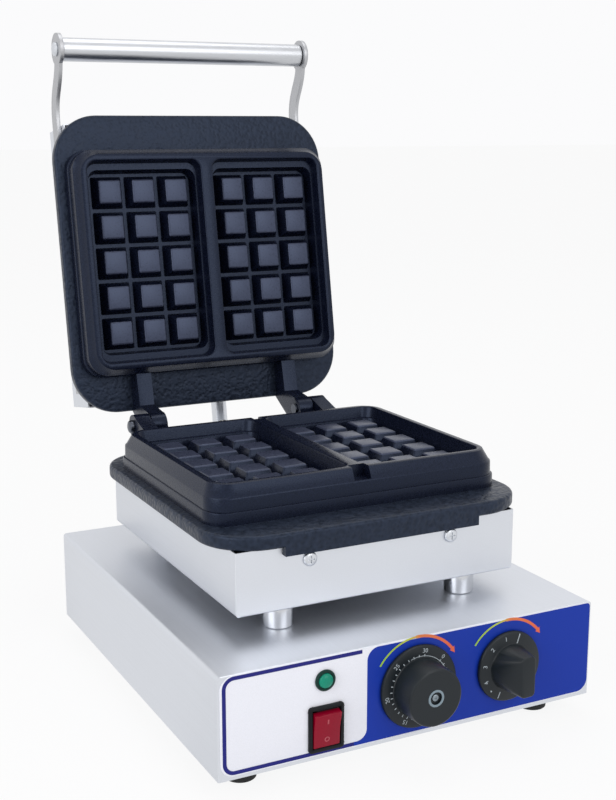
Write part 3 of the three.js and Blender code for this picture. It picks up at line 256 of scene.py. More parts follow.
def block(name, low, high):
    """A box from its lowest to its highest corner"""
    deselect_all()
    low, high = Vector(low), Vector(high)
    bpy.ops.mesh.primitive_cube_add(size=1, location=(low + high) / 2, scale=high - low)
    return named(name)


def round_folds(piece, level, side, end, corner):
    """In edit mode, round an open box's folds: its sides and ends at one level, and its corners"""
    for axis, width, steps in ((1, side, 6), (0, end, 3)):
        choose(
            piece, "edges", lambda edge: runs_along(edge, axis) and abs(middle(edge).z - level) < MM
        )
        bpy.ops.mesh.bevel(offset=width, segments=steps, affect="EDGES")
    choose(piece, "edges", lambda edge: runs_along(edge, 2) and len(edge.link_faces) == 2)
    bpy.ops.mesh.bevel(offset=corner, segments=3, affect="EDGES")


def raise_face(height):
    """Extrude the selected face along Z and set the solid's faces outwards"""
    bpy.ops.mesh.extrude_region_move(TRANSFORM_OT_translate={"value": (0, 0, height)})
    bpy.ops.mesh.select_all(action="SELECT")
    bpy.ops.mesh.normals_make_consistent(inside=False)


def stepped(name, corner, rings, steps=8):
    """A solid with rounded corners about the Z axis, drawn through rings of (width, depth, height)"""
    (width, depth, height), rest = rings[0], rings[1:]
    deselect_all()
    bpy.ops.mesh.primitive_plane_add(size=1, location=(0, 0, height))
    piece = named(name)
    with editing(piece):
        bpy.ops.transform.resize(value=(width, depth, 1), center_override=(0, 0, height))
        bpy.ops.mesh.bevel(offset=corner, segments=steps, affect="VERTICES")
        bpy.ops.mesh.select_all(action="SELECT")
        for next_width, next_depth, next_height in rest:
            rise = (0, 0, next_height - height)
            bpy.ops.mesh.extrude_region_move(TRANSFORM_OT_translate={"value": rise})
            scale = (next_width / width, next_depth / depth, 1)
            bpy.ops.transform.resize(value=scale, center_override=(0, 0, next_height))
            width, depth, height = next_width, next_depth, next_height
        bpy.ops.mesh.select_all(action="SELECT")
        bpy.ops.mesh.normals_make_consistent(inside=False)
    return piece


def slab(name, width, depth, corner, bottom, top, steps=8):
    """A plate with rounded corners, its middle on the Z axis"""
    return stepped(name, corner, ((width, depth, bottom), (width, depth, top)), steps)


def drawn(name, points, bottom, top):
    """A plate drawn point by point in X and Y"""
    deselect_all()
    bpy.ops.mesh.primitive_plane_add(size=1, location=(*points[0], bottom))
    piece = named(name)
    with editing(piece):
        bpy.ops.mesh.merge(type="CENTER")
        for (x0, y0), (x1, y1) in zip(points, points[1:]):
            bpy.ops.mesh.extrude_region_move(TRANSFORM_OT_translate={"value": (x1 - x0, y1 - y0, 0)})
        bpy.ops.mesh.select_all(action="SELECT")
        bpy.ops.mesh.edge_face_add()
        bpy.ops.mesh.select_all(action="SELECT")
        raise_face(top - bottom)
    return piece


def turned(name, profile, sides=48):
    """A round piece on the Z axis: a disc extruded and resized along (radius, height) pairs"""
    (radius, height), rest = profile[0], profile[1:]
    deselect_all()
    bpy.ops.mesh.primitive_circle_add(
        vertices=sides, radius=radius, fill_type="NGON", location=(0, 0, height)
    )
    piece = named(name)
    with editing(piece):
        for next_radius, next_height in rest:
            rise = (0, 0, next_height - height)
            bpy.ops.mesh.extrude_region_move(TRANSFORM_OT_translate={"value": rise})
            scale = next_radius / radius
            bpy.ops.transform.resize(value=(scale, scale, 1), center_override=(0, 0, next_height))
            radius, height = next_radius, next_height
        bpy.ops.mesh.select_all(action="SELECT")
        bpy.ops.mesh.normals_make_consistent(inside=False)
    return piece


def modify(piece, kind, **settings):
    """Add a modifier, set it and apply it"""
    select_only(piece)
    bpy.ops.object.modifier_add(type=kind)
    modifier = piece.modifiers[-1]
    for key, value in settings.items():
        setattr(modifier, key, value)
    bpy.ops.object.modifier_apply(modifier=modifier.name)
    return piece


def eased(piece, width, steps=2, angle=30):
    """Round every edge sharper than an angle"""
    return modify(
        piece,
        "BEVEL",
        width=width,
        segments=steps,
        limit_method="ANGLE",
        angle_limit=math.radians(angle),
    )


def combined(piece, tool, operation):
    """Join or cut a solid with another one, which is used up"""
    modify(piece, "BOOLEAN", object=tool, operation=operation, solver="EXACT")
    bpy.data.objects.remove(tool, do_unlink=True)
    return piece


def cut(piece, *tools):
    """Take solids out of a piece"""
    for tool in tools:
        combined(piece, tool, "DIFFERENCE")
    return piece


def united(piece, *tools):
    """Add solids to a piece, as one solid"""
    for tool in tools:
        combined(piece, tool, "UNION")
    return piece


def joined(piece, *others):
    """Make one piece of several, each keeping its own faces"""
    select_only(piece, *others)
    bpy.ops.object.join()
    return piece


def moved(piece, matrix):
    """Move or turn a piece, and bring its origin back to the frame's own"""
    piece.matrix_world = matrix @ piece.matrix_world
    select_only(piece)
    bpy.ops.object.transform_apply(location=True, rotation=True, scale=True)
    return piece


def copied(piece, name, matrix):
    """A copy with its own mesh, somewhere else"""
    select_only(piece)
    bpy.ops.object.duplicate(linked=False)
    copy = named(name)
    return moved(copy, matrix)


def placed(piece, body, slot, material, *nodes, angle=35):
    """Finish a piece: its shading, material, body and the nodes that it stands for"""
    select_only(piece)
    bpy.ops.object.shade_smooth_by_angle(angle=math.radians(angle))
    if material:
        piece.data.materials.clear()
        piece.data.materials.append(material)
    if body:
        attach(piece, body)
    if nodes:
        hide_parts(*nodes)
    return piece


def middle_of(node):
    """The middle of a CAD node's box"""
    low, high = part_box(node)
    return (low + high) / 2


def on_panel(x, z):
    """Where a piece that faces the front stands on the panel, from its middle line and the table"""
    return Matrix.Translation((x, FRONT_Y, z)) @ FACE_FRONT


def round_at(centre, radius, degrees):
    """The point of a circle at an angle"""
    angle = math.radians(degrees)
    return centre[0] + radius * math.cos(angle), centre[1] + radius * math.sin(angle)


def bow(centre, radius, start, end, steps):
    """Points along an arc, in degrees"""
    return [round_at(centre, radius, start + (end - start) * i / steps) for i in range(steps + 1)]


# Materials


def add_node(material, kind, inputs=(), **settings):
    """Add one node, with its settings, and its sockets set to values or linked to other nodes' outputs"""
    tree = material.node_tree
    node = tree.nodes.new(kind)
    for key, value in settings.items():
        setattr(node, key, value)
    for key, value in dict(inputs).items():
        if isinstance(value, bpy.types.NodeSocket):
            tree.links.new(value, node.inputs[key])
        else:
            node.inputs[key].default_value = value
    return node


def finish(name, base, metallic, roughness, **sockets):
    """A new material and its main shader, or the one of that name and no shader"""
    material = bpy.data.materials.get(name)
    if material:
        return material, None
    material = bpy.data.materials.new(name)
    material.use_nodes = True
    shader = material.node_tree.nodes["Principled BSDF"]
    shader.inputs["Base Color"].default_value = (*base, 1)
    shader.inputs["Metallic"].default_value = metallic
    shader.inputs["Roughness"].default_value = roughness
    for key, value in sockets.items():
        shader.inputs[key.replace("_", " ")].default_value = value
    return material, shader


def drive(material, shader, key, source):
    """Let a node's output drive one of the shader's sockets"""
    material.node_tree.links.new(source, shader.inputs[key])


def mottle(material, shader, pattern, base, spread, roughness, depth, strength):
    """Let a pattern vary a finish: its colour, its roughness and its relief, which is depth metres high"""
    dark = [channel * (1 - spread) for channel in base]
    light = [min(1, channel * (1 + spread)) for channel in base]
    tint = add_node(material, "ShaderNodeMix", {"Factor": pattern}, data_type="RGBA")
    tint.inputs["A"].default_value = (*dark, 1)
    tint.inputs["B"].default_value = (*light, 1)
    drive(material, shader, "Base Color", tint.outputs["Result"])
    smooth, rough = roughness
    gloss = add_node(
        material, "ShaderNodeMapRange", {"Value": pattern, "To Min": smooth, "To Max": rough}
    )
    drive(material, shader, "Roughness", gloss.outputs["Result"])
    relief = add_node(
        material, "ShaderNodeBump", {"Height": pattern, "Distance": depth, "Strength": strength}
    )
    drive(material, shader, "Normal", relief.outputs["Normal"])


def brushed_stainless(name, base, grain):
    """304 stainless sheet with a brushed grain: soft reflections drawn out along fine parallel scratches.
    The scratches are 0.8 mm apart here, wider than real ones, so that they show."""
    smooth, rough = 0.34, 0.52
    material, shader = finish(name, base, 1, smooth)
    if not shader:
        return material
    place = add_node(material, "ShaderNodeTexCoord")
    spacing, scratch, cloud = 0.8 * MM, 70 * MM, 90 * MM
    scale = [1 / (scratch if axis == grain else spacing) for axis in range(3)]
    stretched = add_node(
        material, "ShaderNodeMapping", {"Vector": place.outputs["Object"], "Scale": scale}
    )
    scratches = add_node(
        material, "ShaderNodeTexNoise", {"Vector": stretched.outputs["Vector"], "Scale": 1, "Detail": 3}
    )
    clouds = add_node(
        material, "ShaderNodeTexNoise", {"Vector": place.outputs["Object"], "Scale": 1 / cloud, "Detail": 2}
    )
    both = add_node(
        material,
        "ShaderNodeMix",
        {"Factor": 0.35, "A": scratches.outputs["Fac"], "B": clouds.outputs["Fac"]},
    )
    mottle(
        material,
        shader,
        both.outputs["Result"],
        base,
        spread=0.07,
        roughness=(smooth, rough),
        depth=0.05 * MM,
        strength=0.18,
    )
    return material


def polished_steel(name, base, roughness=0.13):
    """Polished, plated or rumbled metal: a mirror at low roughness and satin at high, with handling haze
    in clouds as wide as a fingertip"""
    material, shader = finish(name, base, 1, roughness)
    if not shader:
        return material
    place = add_node(material, "ShaderNodeTexCoord")
    fingertip = 14 * MM
    haze = add_node(
        material,
        "ShaderNodeTexNoise",
        {"Vector": place.outputs["Object"], "Scale": 1 / fingertip, "Detail": 4},
    )
    mottle(
        material,
        shader,
        haze.outputs["Fac"],
        base,
        spread=0.05,
        roughness=(roughness * 0.7, roughness * 1.5),
        depth=0.02 * MM,
        strength=0.1,
    )
    return material


def coated_casting(name, base, grit, depth, roughness, spread, index=1.4):
    """Cast aluminium under a black PTFE coating. The coat is thin, so the grit of the casting shows in it:
    coarse sand-cast grain on the flange, and fine pebbling of the sprayed coat on machined faces.
    Both are drawn coarser than real grit, so that they show. Its sheen is bluish, as thin PTFE's is."""
    bluish = (0.55, 0.68, 1, 1)
    material, shader = finish(name, base, 0, roughness, IOR=index, Specular_Tint=bluish)
    if not shader:
        return material
    place = add_node(material, "ShaderNodeTexCoord")
    grains = add_node(
        material,
        "ShaderNodeTexVoronoi",
        {"Vector": place.outputs["Object"], "Scale": 1 / grit, "Randomness": 1},
        feature="SMOOTH_F1",
    )
    pits = add_node(
        material,
        "ShaderNodeTexNoise",
        {"Vector": place.outputs["Object"], "Scale": 0.6 / grit, "Detail": 5},
    )
    both = add_node(
        material,
        "ShaderNodeMix",
        {"Factor": 0.55, "A": grains.outputs["Distance"], "B": pits.outputs["Fac"]},
    )
    sharper = add_node(
        material,
        "ShaderNodeMapRange",
        {"Value": both.outputs["Result"], "From Min": 0.3, "From Max": 0.62},
    )
    mottle(
        material,
        shader,
        sharper.outputs["Result"],
        base,
        spread=spread,
        roughness=(roughness * 0.8, roughness * 1.25),
        depth=depth,
        strength=0.7,
    )
    return material


def moulded(name, base, roughness, grit=0.7 * MM, depth=0.02 * MM, **sockets):
    """Moulded plastic or rubber: a faint spark-eroded grain from the tool, slightly uneven gloss.
    The grain is drawn coarser than a real one, so that it shows."""
    material, shader = finish(name, base, 0, roughness, **sockets)
    if not shader:
        return material
    place = add_node(material, "ShaderNodeTexCoord")
    grain = add_node(
        material, "ShaderNodeTexNoise", {"Vector": place.outputs["Object"], "Scale": 1 / grit, "Detail": 3}
    )
    mottle(
        material,
        shader,
        grain.outputs["Fac"],
        base,
        spread=0.08,
        roughness=(roughness * 0.85, roughness * 1.2),
        depth=depth,
        strength=0.35,
    )
    return material


def arc_print(name, centre_x, reach):
    """Screen printed arc that turns from yellow-green to orange on its way to the right"""
    material, shader = finish(name, linear("#B9CF3A"), 0, 0.35)
    if not shader:
        return material
    place = add_node(material, "ShaderNodeTexCoord")
    split = add_node(material, "ShaderNodeSeparateXYZ", {"Vector": place.outputs["Object"]})
    share = add_node(
        material,
        "ShaderNodeMapRange",
        {"Value": split.outputs["X"], "From Min": centre_x - reach, "From Max": centre_x + reach},
    )
    ramp = add_node(material, "ShaderNodeValToRGB", {"Fac": share.outputs["Result"]})
    stops = ((0.0, "#9CC73C"), (0.38, "#C3CC3E"), (0.52, "#E2793F"), (1.0, "#E8613A"))
    while len(ramp.color_ramp.elements) < len(stops):
        ramp.color_ramp.elements.new(0.5)
    for element, (position, code) in zip(ramp.color_ramp.elements, stops):
        element.position = position
        element.color = (*linear(code), 1)
    drive(material, shader, "Base Color", ramp.outputs["Color"])
    return material


def settings():
    """The waffle maker's own settings"""
    return bpy.context.scene.waffle_maker


def steel_sheet():
    """Brushed 304 sheet of the casing and the heater box, its grain from front to rear"""
    return brushed_stainless("brushed_stainless", settings().finishes.steel, 1)


def bright_steel():
    """Polished stainless of the standoffs: near mirror, so they take on the sheets around them"""
    return polished_steel("polished_stainless", settings().finishes.polished)


def small_steel():
    """Rumbled stainless of the screws and bolts: softer and paler than the polished tube"""
    return polished_steel("rumbled_stainless", linear("#D2D5DA"), 0.3)


def printed(name, base):
    """Printed polyester overlay: flat ink under a clear film with an even satin gloss"""
    return moulded(name, base, 0.34, 0.5 * MM, 0.004 * MM, Specular_IOR_Level=0.15)


def black_plastic():
    """Moulded phenolic of the knobs: black with a grey-green cast, satin"""
    return moulded("phenolic_moulding", settings().finishes.knob, 0.38, Specular_IOR_Level=0.32)


def black_nylon():
    """Moulded nylon of the switch bezel and the gland: black, with a low satin gloss"""
    return moulded("black_nylon", linear("#0E1216"), 0.34, Specular_IOR_Level=0.2)


def print_white():
    """Pad printed marks of the dials: thin matt ink, greyed by the black under it. It also colours the
    painted highlight arc on the timer
    """
    return moulded("pad_printed_white", linear("#B4BEC4"), 0.5)


# Casing, panel and feet


class WAFFLE_OT_casing(bpy.types.Operator):
    """Model the folded stainless casing and its four feet"""

    bl_idname = "waffle.casing"
    bl_label = "Casing"

    def execute(self, context):
        sizes = settings().casing
        low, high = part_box("base_casing")
        shell = block("casing_shell", low, high)
        with editing(shell):
            choose(shell, "faces", lambda face: face.normal.z < -0.5)
            bpy.ops.mesh.delete(type="FACE")
            round_folds(shell, CASING_TOP, sizes.bend, sizes.bend / 6, sizes.bend / 3)
        modify(shell, "SOLIDIFY", thickness=sizes.sheet, offset=-1)
        placed(shell, "base", "base_casing", steel_sheet(), "base_casing")

        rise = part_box("base_casing")[0].z
        radius, neck = sizes.foot_radius, 4 * MM
        foot = turned(
            "foot",
            [
                (radius - 3.4 * MM, 0.6 * MM),
                (radius - 3.2 * MM, 0),
                (radius - 1.6 * MM, 0),
                (radius - 1.1 * MM, 0.5 * MM),
                (radius, rise - 1.6 * MM),
                (radius - 0.4 * MM, rise - 0.4 * MM),
                (radius - 1.4 * MM, rise - 0.1 * MM),
                (neck, rise - 0.1 * MM),
                (neck, rise + 2.6 * MM),
            ],
        )
        # Moulded rubber: dull and nearly black, with a coarse grain that scatters the light
        rubber = moulded("black_rubber", linear("#121314"), 0.72, 1.2 * MM, 0.05 * MM)
        for node in ("foot_front_left", "foot_front_right", "foot_rear_left", "foot_rear_right"):
            spot = middle_of(node)
            copy = copied(foot, f"rubber_{node}", Matrix.Translation((spot.x, spot.y, 0)))
            placed(copy, "base", "feet", rubber, node)
        bpy.data.objects.remove(foot, do_unlink=True)
        return {"FINISHED"}


class WAFFLE_OT_front_panel(bpy.types.Operator):
    """Model the printed front panel: its sheet, the outline, the blue field and the two arcs"""

    bl_idname = "waffle.front_panel"
    bl_label = "Front panel"

    def execute(self, context):
        sizes, inks = settings().casing, settings().finishes
        low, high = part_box("front_panel")
        width, height = high.x - low.x, high.z - low.z
        face = FRONT_Y - low.y
        ink = 0.12 * MM
        centre = on_panel(0, (low.z + high.z) / 2)

        half_width, half_height = width / 2, height / 2
        wide, tight = 8.5 * MM, 3 * MM
        rim = []
        for across, up, corner, start in (
            (-1, 1, wide, 180),
            (1, 1, tight, 90),
            (1, -1, wide, 0),
            (-1, -1, wide, -90),
        ):
            pivot = (across * (half_width - corner), up * (half_height - corner))
            rim += bow(pivot, corner, start, start - 90, 8)
        sheet = eased(drawn("panel_sheet", rim, 0, face), 0.15 * MM, 2, 60)
        white = printed("white_print_on_polyester", inks.pale)
        placed(moved(sheet, centre), "base", "front_panel", white, "front_panel")

        # The print stops short of the sheet's edges
        left, right = 1.4 * MM - half_width, half_width - 0.3 * MM
        foot, head = 0.9 * MM - half_height, half_height - 0.4 * MM
        line = sizes.outline_width
        bend = 7.6 * MM
        top_end, bottom_end = -39.8 * MM, -25 * MM
        outside = [
            (top_end, head),
            *bow((left + bend, head - bend), bend, 90, 180, 8),
            *bow((left + bend, foot + bend), bend, 180, 270, 8),
            (bottom_end, foot),
        ]
        inside = [
            (bottom_end, foot + line),
            *bow((left + bend, foot + bend), bend - line, 270, 180, 8),
            *bow((left + bend, head - bend), bend - line, 180, 90, 8),
            (top_end, head - line),
        ]
        outline = drawn("panel_outline", outside + inside, face - ink, face + ink)
        placed(moved(outline, centre), "base", "front_panel", printed("navy_print_on_polyester", inks.navy))

        edge = -36.2 * MM
        flare, corner, nick = 7 * MM, 8 * MM, 2.5 * MM
        tail = edge - flare - 2 * MM
        field = drawn(
            "panel_blue_field",
            [
                *bow((edge + corner, head - corner), corner, 180, 90, 8),
                *bow((right - nick, head - nick), nick, 90, 0, 5),
                *bow((right - corner, foot + corner), corner, 0, -90, 8),
                (tail, foot),
                (tail, foot + line),
                *bow((edge - flare, foot + line + flare), flare, 270, 360, 8),
            ],
            face - ink,
            face + 1.6 * ink,
        )
        placed(moved(field, centre), "base", "front_panel", printed("blue_print_on_polyester", inks.blue))

        half = sizes.arc_width / 2
        for name, node, radius, start, end in (
            ("timer_arc", "timer_knob", 32 * MM, 147, 38),
            ("thermostat_arc", "thermostat_knob", 30.8 * MM, 145, 41),
        ):
            spot = middle_of(node)
            top, thin = (start + end) / 2, 0.6 * half
            points = [
                *bow((0, 0), radius + thin, start, top, 10),
                *bow((0, 0), radius + half, top, end, 10),
                round_at((0, 0), radius + 2.1 * half, end),
                round_at((0, 0), radius - 0.2 * half, end - 7),
                round_at((0, 0), radius - 2.1 * half, end),
                *bow((0, 0), radius - half, end, top, 10),
                *bow((0, 0), radius - thin, top, start, 10),
            ]
            arc = drawn(name, points, face + ink, face + 2.4 * ink)
            material = arc_print(f"{name}_print", spot.x, radius * 0.84)
            placed(moved(arc, on_panel(spot.x, spot.z)), "base", "front_panel", material)
        return {"FINISHED"}


# Lamp, switch and knobs, modelled face up and then turned to the front


class WAFFLE_OT_lamp_and_switch(bpy.types.Operator):
    """Model the pilot lamp and the rocker switch"""

    bl_idname = "waffle.lamp_and_switch"
    bl_label = "Lamp and switch"

    def execute(self, context):
        tints = settings().finishes
        face, back = 0.8 * MM, -24 * MM
        spot = middle_of("pilot_lamp_body")
        place = on_panel(spot.x, spot.z)
        barrel, rim_radius, rim_top = 4.4 * MM, 6.7 * MM, face + 1.5 * MM
        rim = turned(
            "pilot_lamp_rim",
            [
                (barrel, back),
                (barrel, face),
                (rim_radius, face),
                (rim_radius, rim_top - 0.5 * MM),
                (rim_radius - 0.5 * MM, rim_top),
                (barrel + 0.7 * MM, rim_top),
                (barrel + 0.5 * MM, rim_top - 0.9 * MM),
            ],
        )
        # Moulded polycarbonate rim, in a darker green than the lens: painted shade round the lamp
        shaded_rim_plastic = moulded("dark_polycarbonate", linear("#08302A"), 0.3, Specular_IOR_Level=0.2)
        placed(moved(rim, place), "base", "pilot_lamp_body", shaded_rim_plastic, "pilot_lamp_body")
        lens_radius, lens_height, seat = 4.7 * MM, 2.3 * MM, face + 1.4 * MM
        dome = [(lens_radius, seat - 0.7 * MM)]
        dome += [
            (lens_radius * math.cos(angle), seat + lens_height * math.sin(angle))
            for angle in (math.radians(step * 11) for step in range(8))
        ]
        lens = turned("pilot_lamp_dome", dome)
        # Tinted polycarbonate with the lamp off: deep green, with a soft highlight
        lens_plastic = moulded("tinted_polycarbonate", tints.lamp, 0.2, Specular_IOR_Level=0.25)
        placed(moved(lens, place), "base", "pilot_lamp_lens", lens_plastic, "pilot_lamp_lens")

        spot = middle_of("switch_housing")
        place = on_panel(spot.x, spot.z)
        width, height, corner = 23.7 * MM, 29.3 * MM, 1.8 * MM
        bezel = slab("switch_bezel", width, height, corner, face, face + 1.5 * MM, 5)
        # Its face, from a rounded rim over a flat frame to the well that the rocker stands in
        with editing(bezel):
            choose(bezel, "faces", lambda each: each.normal.z > 0.9)
            bpy.ops.mesh.inset(thickness=0.15 * MM, depth=0.3 * MM)
            bpy.ops.mesh.inset(thickness=0.4 * MM, depth=0.2 * MM)
            bpy.ops.mesh.inset(thickness=1.4 * MM)
            bpy.ops.mesh.inset(thickness=0.4 * MM, depth=-0.5 * MM)
            bpy.ops.mesh.extrude_region_move(TRANSFORM_OT_translate={"value": (0, 0, -1.2 * MM)})
        half_x, half_y = 10.5 * MM, 13.5 * MM
        body = block("switch_back", (-half_x, -half_y, back), (half_x, half_y, face + 0.1 * MM))
        joined(bezel, eased(body, 0.5 * MM))
        half_x, half_y, tip, root = 2.5 * MM, 0.4 * MM, -32 * MM, back + 0.5 * MM
        for y in (-8 * MM, 0, 8 * MM):
            blade = block("blade", (-half_x, y - half_y, tip), (half_x, y + half_y, root))
            joined(bezel, eased(blade, 0.2 * MM))
        placed(moved(bezel, place), "base", "switch_housing", black_nylon(), "switch_housing")

        half_width, half_height, reach, dish = 8.9 * MM, 11.5 * MM, 6.7 * MM, 0.9 * MM
        skirt, draft = 1.5 * MM, 0.5 * MM
        outline = [
            (-half_height, skirt),
            (-half_height + draft, reach + dish),
            (0, reach),
            (half_height - draft, reach + dish),
            (half_height, skirt),
        ]
        rocker = drawn("rocker", outline, -half_width, half_width)
        eased(rocker, 0.5 * MM, 3, 12)
        stroke, raised, mark_y = 0.45 * MM, 0.62 * MM, 6 * MM
        on_low, on_high = mark_y - 1.5 * MM, mark_y + 1.5 * MM
        mark_on = block("on", (on_low, reach, -stroke), (on_high, reach + raised, stroke))
        ring_radius, bore = 1.7 * MM, 1.1 * MM
        ring = turned("off", [(ring_radius, 0), (ring_radius, raised)], 24)
        cut(ring, turned("ring_bore", [(bore, -MM), (bore, 2 * MM)], 24))
        face_up = Matrix.Rotation(math.radians(-90), 4, "X")
        moved(ring, Matrix.Translation((-mark_y, reach, 0)) @ face_up)
        marks = joined(mark_on, ring)

        # At rest the rocker leans as its solid does, with its lower half pressed in
        lean = Matrix.Translation((0, 0, -3.5 * MM)) @ Matrix.Rotation(math.radians(8), 4, "X")
        where = place @ lean @ FACE_RIGHT
        rocker.name, marks.name = "rocker_cap", "rocker_marks"
        # Tinted polycarbonate from a polished tool: glossy dark red
        red = moulded("red_polycarbonate", tints.rocker, 0.24, Specular_IOR_Level=0.2)
        placed(moved(rocker, where), "rocker", "switch_rocker", red, "switch_rocker", angle=25)
        # Pad printed marks, thin enough for the red to show through
        pink = moulded("pad_printed_pink", linear("#B4505B"), 0.5)
        placed(moved(marks, where), "rocker", "switch_rocker", pink, angle=25)
        return {"FINISHED"}


def dial_text(name, text, size, angle, radius, height):
    """A printed figure on a dial, upright, at an angle in degrees and a radius"""
    deselect_all()
    bpy.ops.object.text_add(location=(0, 0, 0))
    figure = bpy.context.object
    figure.data.body = text
    figure.data.size = size
    figure.data.align_x = "CENTER"
    figure.data.align_y = "CENTER"
    figure.data.extrude = PRINT_HEIGHT
    figure.data.resolution_u = 4
    bpy.ops.object.convert(target="MESH")
    figure = named(name)
    turn = math.radians(angle)
    spot = Matrix.Translation((radius * math.cos(turn), radius * math.sin(turn), height))
    return moved(figure, spot @ Matrix.Rotation(turn - math.pi / 2, 4, "Z"))


def dial_tick(angle, inner, outer, width, height):
    """A printed tick on a dial, from an inner to an outer radius"""
    low, high = (inner, -width / 2, height - 0.1 * MM), (outer, width / 2, height + PRINT_HEIGHT)
    tick = block("tick", low, high)
    return moved(tick, Matrix.Rotation(math.radians(angle), 4, "Z"))


class WAFFLE_OT_timer_knob(bpy.types.Operator):
    """Model the timer knob and the marks on its skirt"""

    bl_idname = "waffle.timer_knob"
    bl_label = "Timer knob"

    def execute(self, context):
        spot = middle_of("timer_knob")
        place = on_panel(spot.x, spot.z)
        skirt, grip, cap, recess = 27.1 * MM, 18.7 * MM, 22.7 * MM, 4.2 * MM
        knob = turned(
            "timer_dial",
            [
                (skirt - 0.9 * MM, DIAL_FACE - 2.9 * MM),
                (skirt, DIAL_FACE - 2.4 * MM),
                (skirt, DIAL_FACE - MM),
                (skirt - 0.4 * MM, DIAL_FACE - 0.3 * MM),
                (skirt - 1.2 * MM, DIAL_FACE),
                (grip + MM, DIAL_FACE),
                (grip + 0.5 * MM, DIAL_FACE + 0.6 * MM),
                (grip, cap - 1.3 * MM),
                (grip - 0.3 * MM, cap - 0.5 * MM),
                (grip - 1.1 * MM, cap),
                (recess, cap),
                (recess - 0.2 * MM, cap - 1.4 * MM),
            ],
            96,
        )
        knob = moved(knob, place)
        placed(knob, "timer_control", "timer_knob", black_plastic(), "timer_knob", angle=30)
        ring_top = cap + 0.2 * MM
        hub_profile = [
            (recess + 1.4 * MM, cap - 0.2 * MM),
            (recess + 1.3 * MM, ring_top),
            (recess, ring_top),
        ]
        ring = turned("timer_hub_ring", hub_profile, 48)
        bore = recess - 0.1 * MM
        cut(ring, turned("bore", [(bore, cap - 0.7 * MM), (bore, cap + 1.3 * MM)], 48))
        # Moulded ABS trim ring: plain grey, satin
        hub = moulded("grey_abs", linear("#7F909A"), 0.4)
        placed(moved(ring, place), "timer_control", "timer_knob", hub)
        screw = pan_head("timer_screw", radius=2.4 * MM, height=0.9 * MM, shank=1.2 * MM, reach=MM)
        moved(screw, place @ Matrix.Translation((0, 0, cap - 1.3 * MM)))
        # Plated steel that handling has dulled, so the cross shows as a soft dark mark
        dulled = polished_steel("dulled_steel", linear("#8B959C"), 0.35)
        placed(screw, "timer_control", "timer_knob", dulled)

        # The scale: the zero and one minute in degrees, the minutes in all and between two figures
        zero, minute, longest, between = 46, -10.8, 30, 5
        # A tick's inner and outer radius, its width and its height
        tick = (19.9 * MM, 21.4 * MM, 0.6 * MM, DIAL_FACE)
        marks = dial_tick(zero, *tick)
        for step in range(1, longest + 1):
            joined(marks, dial_tick(zero + step * minute, *tick))
        size, radius = 4 * MM, 23.6 * MM
        for step in range(0, longest + 1, between):
            joined(marks, dial_text("figure", str(step), size, zero + step * minute, radius, DIAL_FACE))
        # A pale arc along the cap's foot, from 20° to 110°, in the marks' ink: a painted highlight on the
        # foot's edge
        band = [*bow((0, 0), 20.5 * MM, 20, 110, 24), *bow((0, 0), 20.1 * MM, 110, 20, 24)]
        joined(marks, drawn("band", band, DIAL_FACE - 0.1 * MM, DIAL_FACE + 0.05 * MM))
        marks.name = "timer_marks"
        placed(moved(marks, place), "timer_control", "timer_knob", print_white())
        return {"FINISHED"}


class WAFFLE_OT_thermostat_knob(bpy.types.Operator):
    """Model the thermostat knob, its bar grip and the marks on its skirt"""

    bl_idname = "waffle.thermostat_knob"
    bl_label = "Thermostat knob"

    def execute(self, context):
        spot = middle_of("thermostat_knob")
        place = on_panel(spot.x, spot.z)
        skirt, foot = 23.5 * MM, 14.8 * MM
        knob = turned(
            "thermostat_dial",
            [
                (skirt - MM, DIAL_FACE - 2.9 * MM),
                (skirt, DIAL_FACE - 2.4 * MM),
                (skirt, DIAL_FACE - 1.1 * MM),
                (skirt - 0.4 * MM, DIAL_FACE - 0.4 * MM),
                (skirt - 1.1 * MM, DIAL_FACE),
                (foot + 1.1 * MM, DIAL_FACE),
                (foot + 0.4 * MM, DIAL_FACE + 0.3 * MM),
                (foot, DIAL_FACE + MM),
            ],
            96,
        )
        # The grip runs from a round foot to a bar, as a hull over both
        bar_width, bar_length, bar_top = 11 * MM, 27 * MM, 24 * MM
        bar = slab("grip", bar_width, bar_length, 3 * MM, bar_top - 4 * MM, bar_top)
        grip = eased(bar, 0.9 * MM, 3, 60)
        foot_profile = [(foot + 0.2 * MM, DIAL_FACE - 0.2 * MM), (foot, DIAL_FACE + 1.5 * MM)]
        joined(grip, turned("grip_foot", foot_profile, 64))
        with editing(grip):
            bpy.ops.mesh.convex_hull()
        knob = moved(united(knob, grip), place)
        placed(knob, "thermostat_control", "thermostat_knob", black_plastic(), "thermostat_knob")

        # A pointer, a stop mark and a dot, each with its angle, inner and outer radius and width
        marks = dial_tick(72, 15.9 * MM, 22.3 * MM, 0.7 * MM, DIAL_FACE)
        joined(marks, dial_tick(246, 17.5 * MM, 22 * MM, 0.6 * MM, DIAL_FACE))
        joined(marks, dial_tick(225, 19.6 * MM, 20.6 * MM, MM, DIAL_FACE))
        for figure, angle in (("1", 101), ("2", 135), ("3", 170), ("4", 203)):
            joined(marks, dial_text("figure", figure, 4.4 * MM, angle, 19.4 * MM, DIAL_FACE))
        marks.name = "thermostat_marks"
        placed(moved(marks, place), "thermostat_control", "thermostat_knob", print_white())
        return {"FINISHED"}


# Standoffs, trays and screws


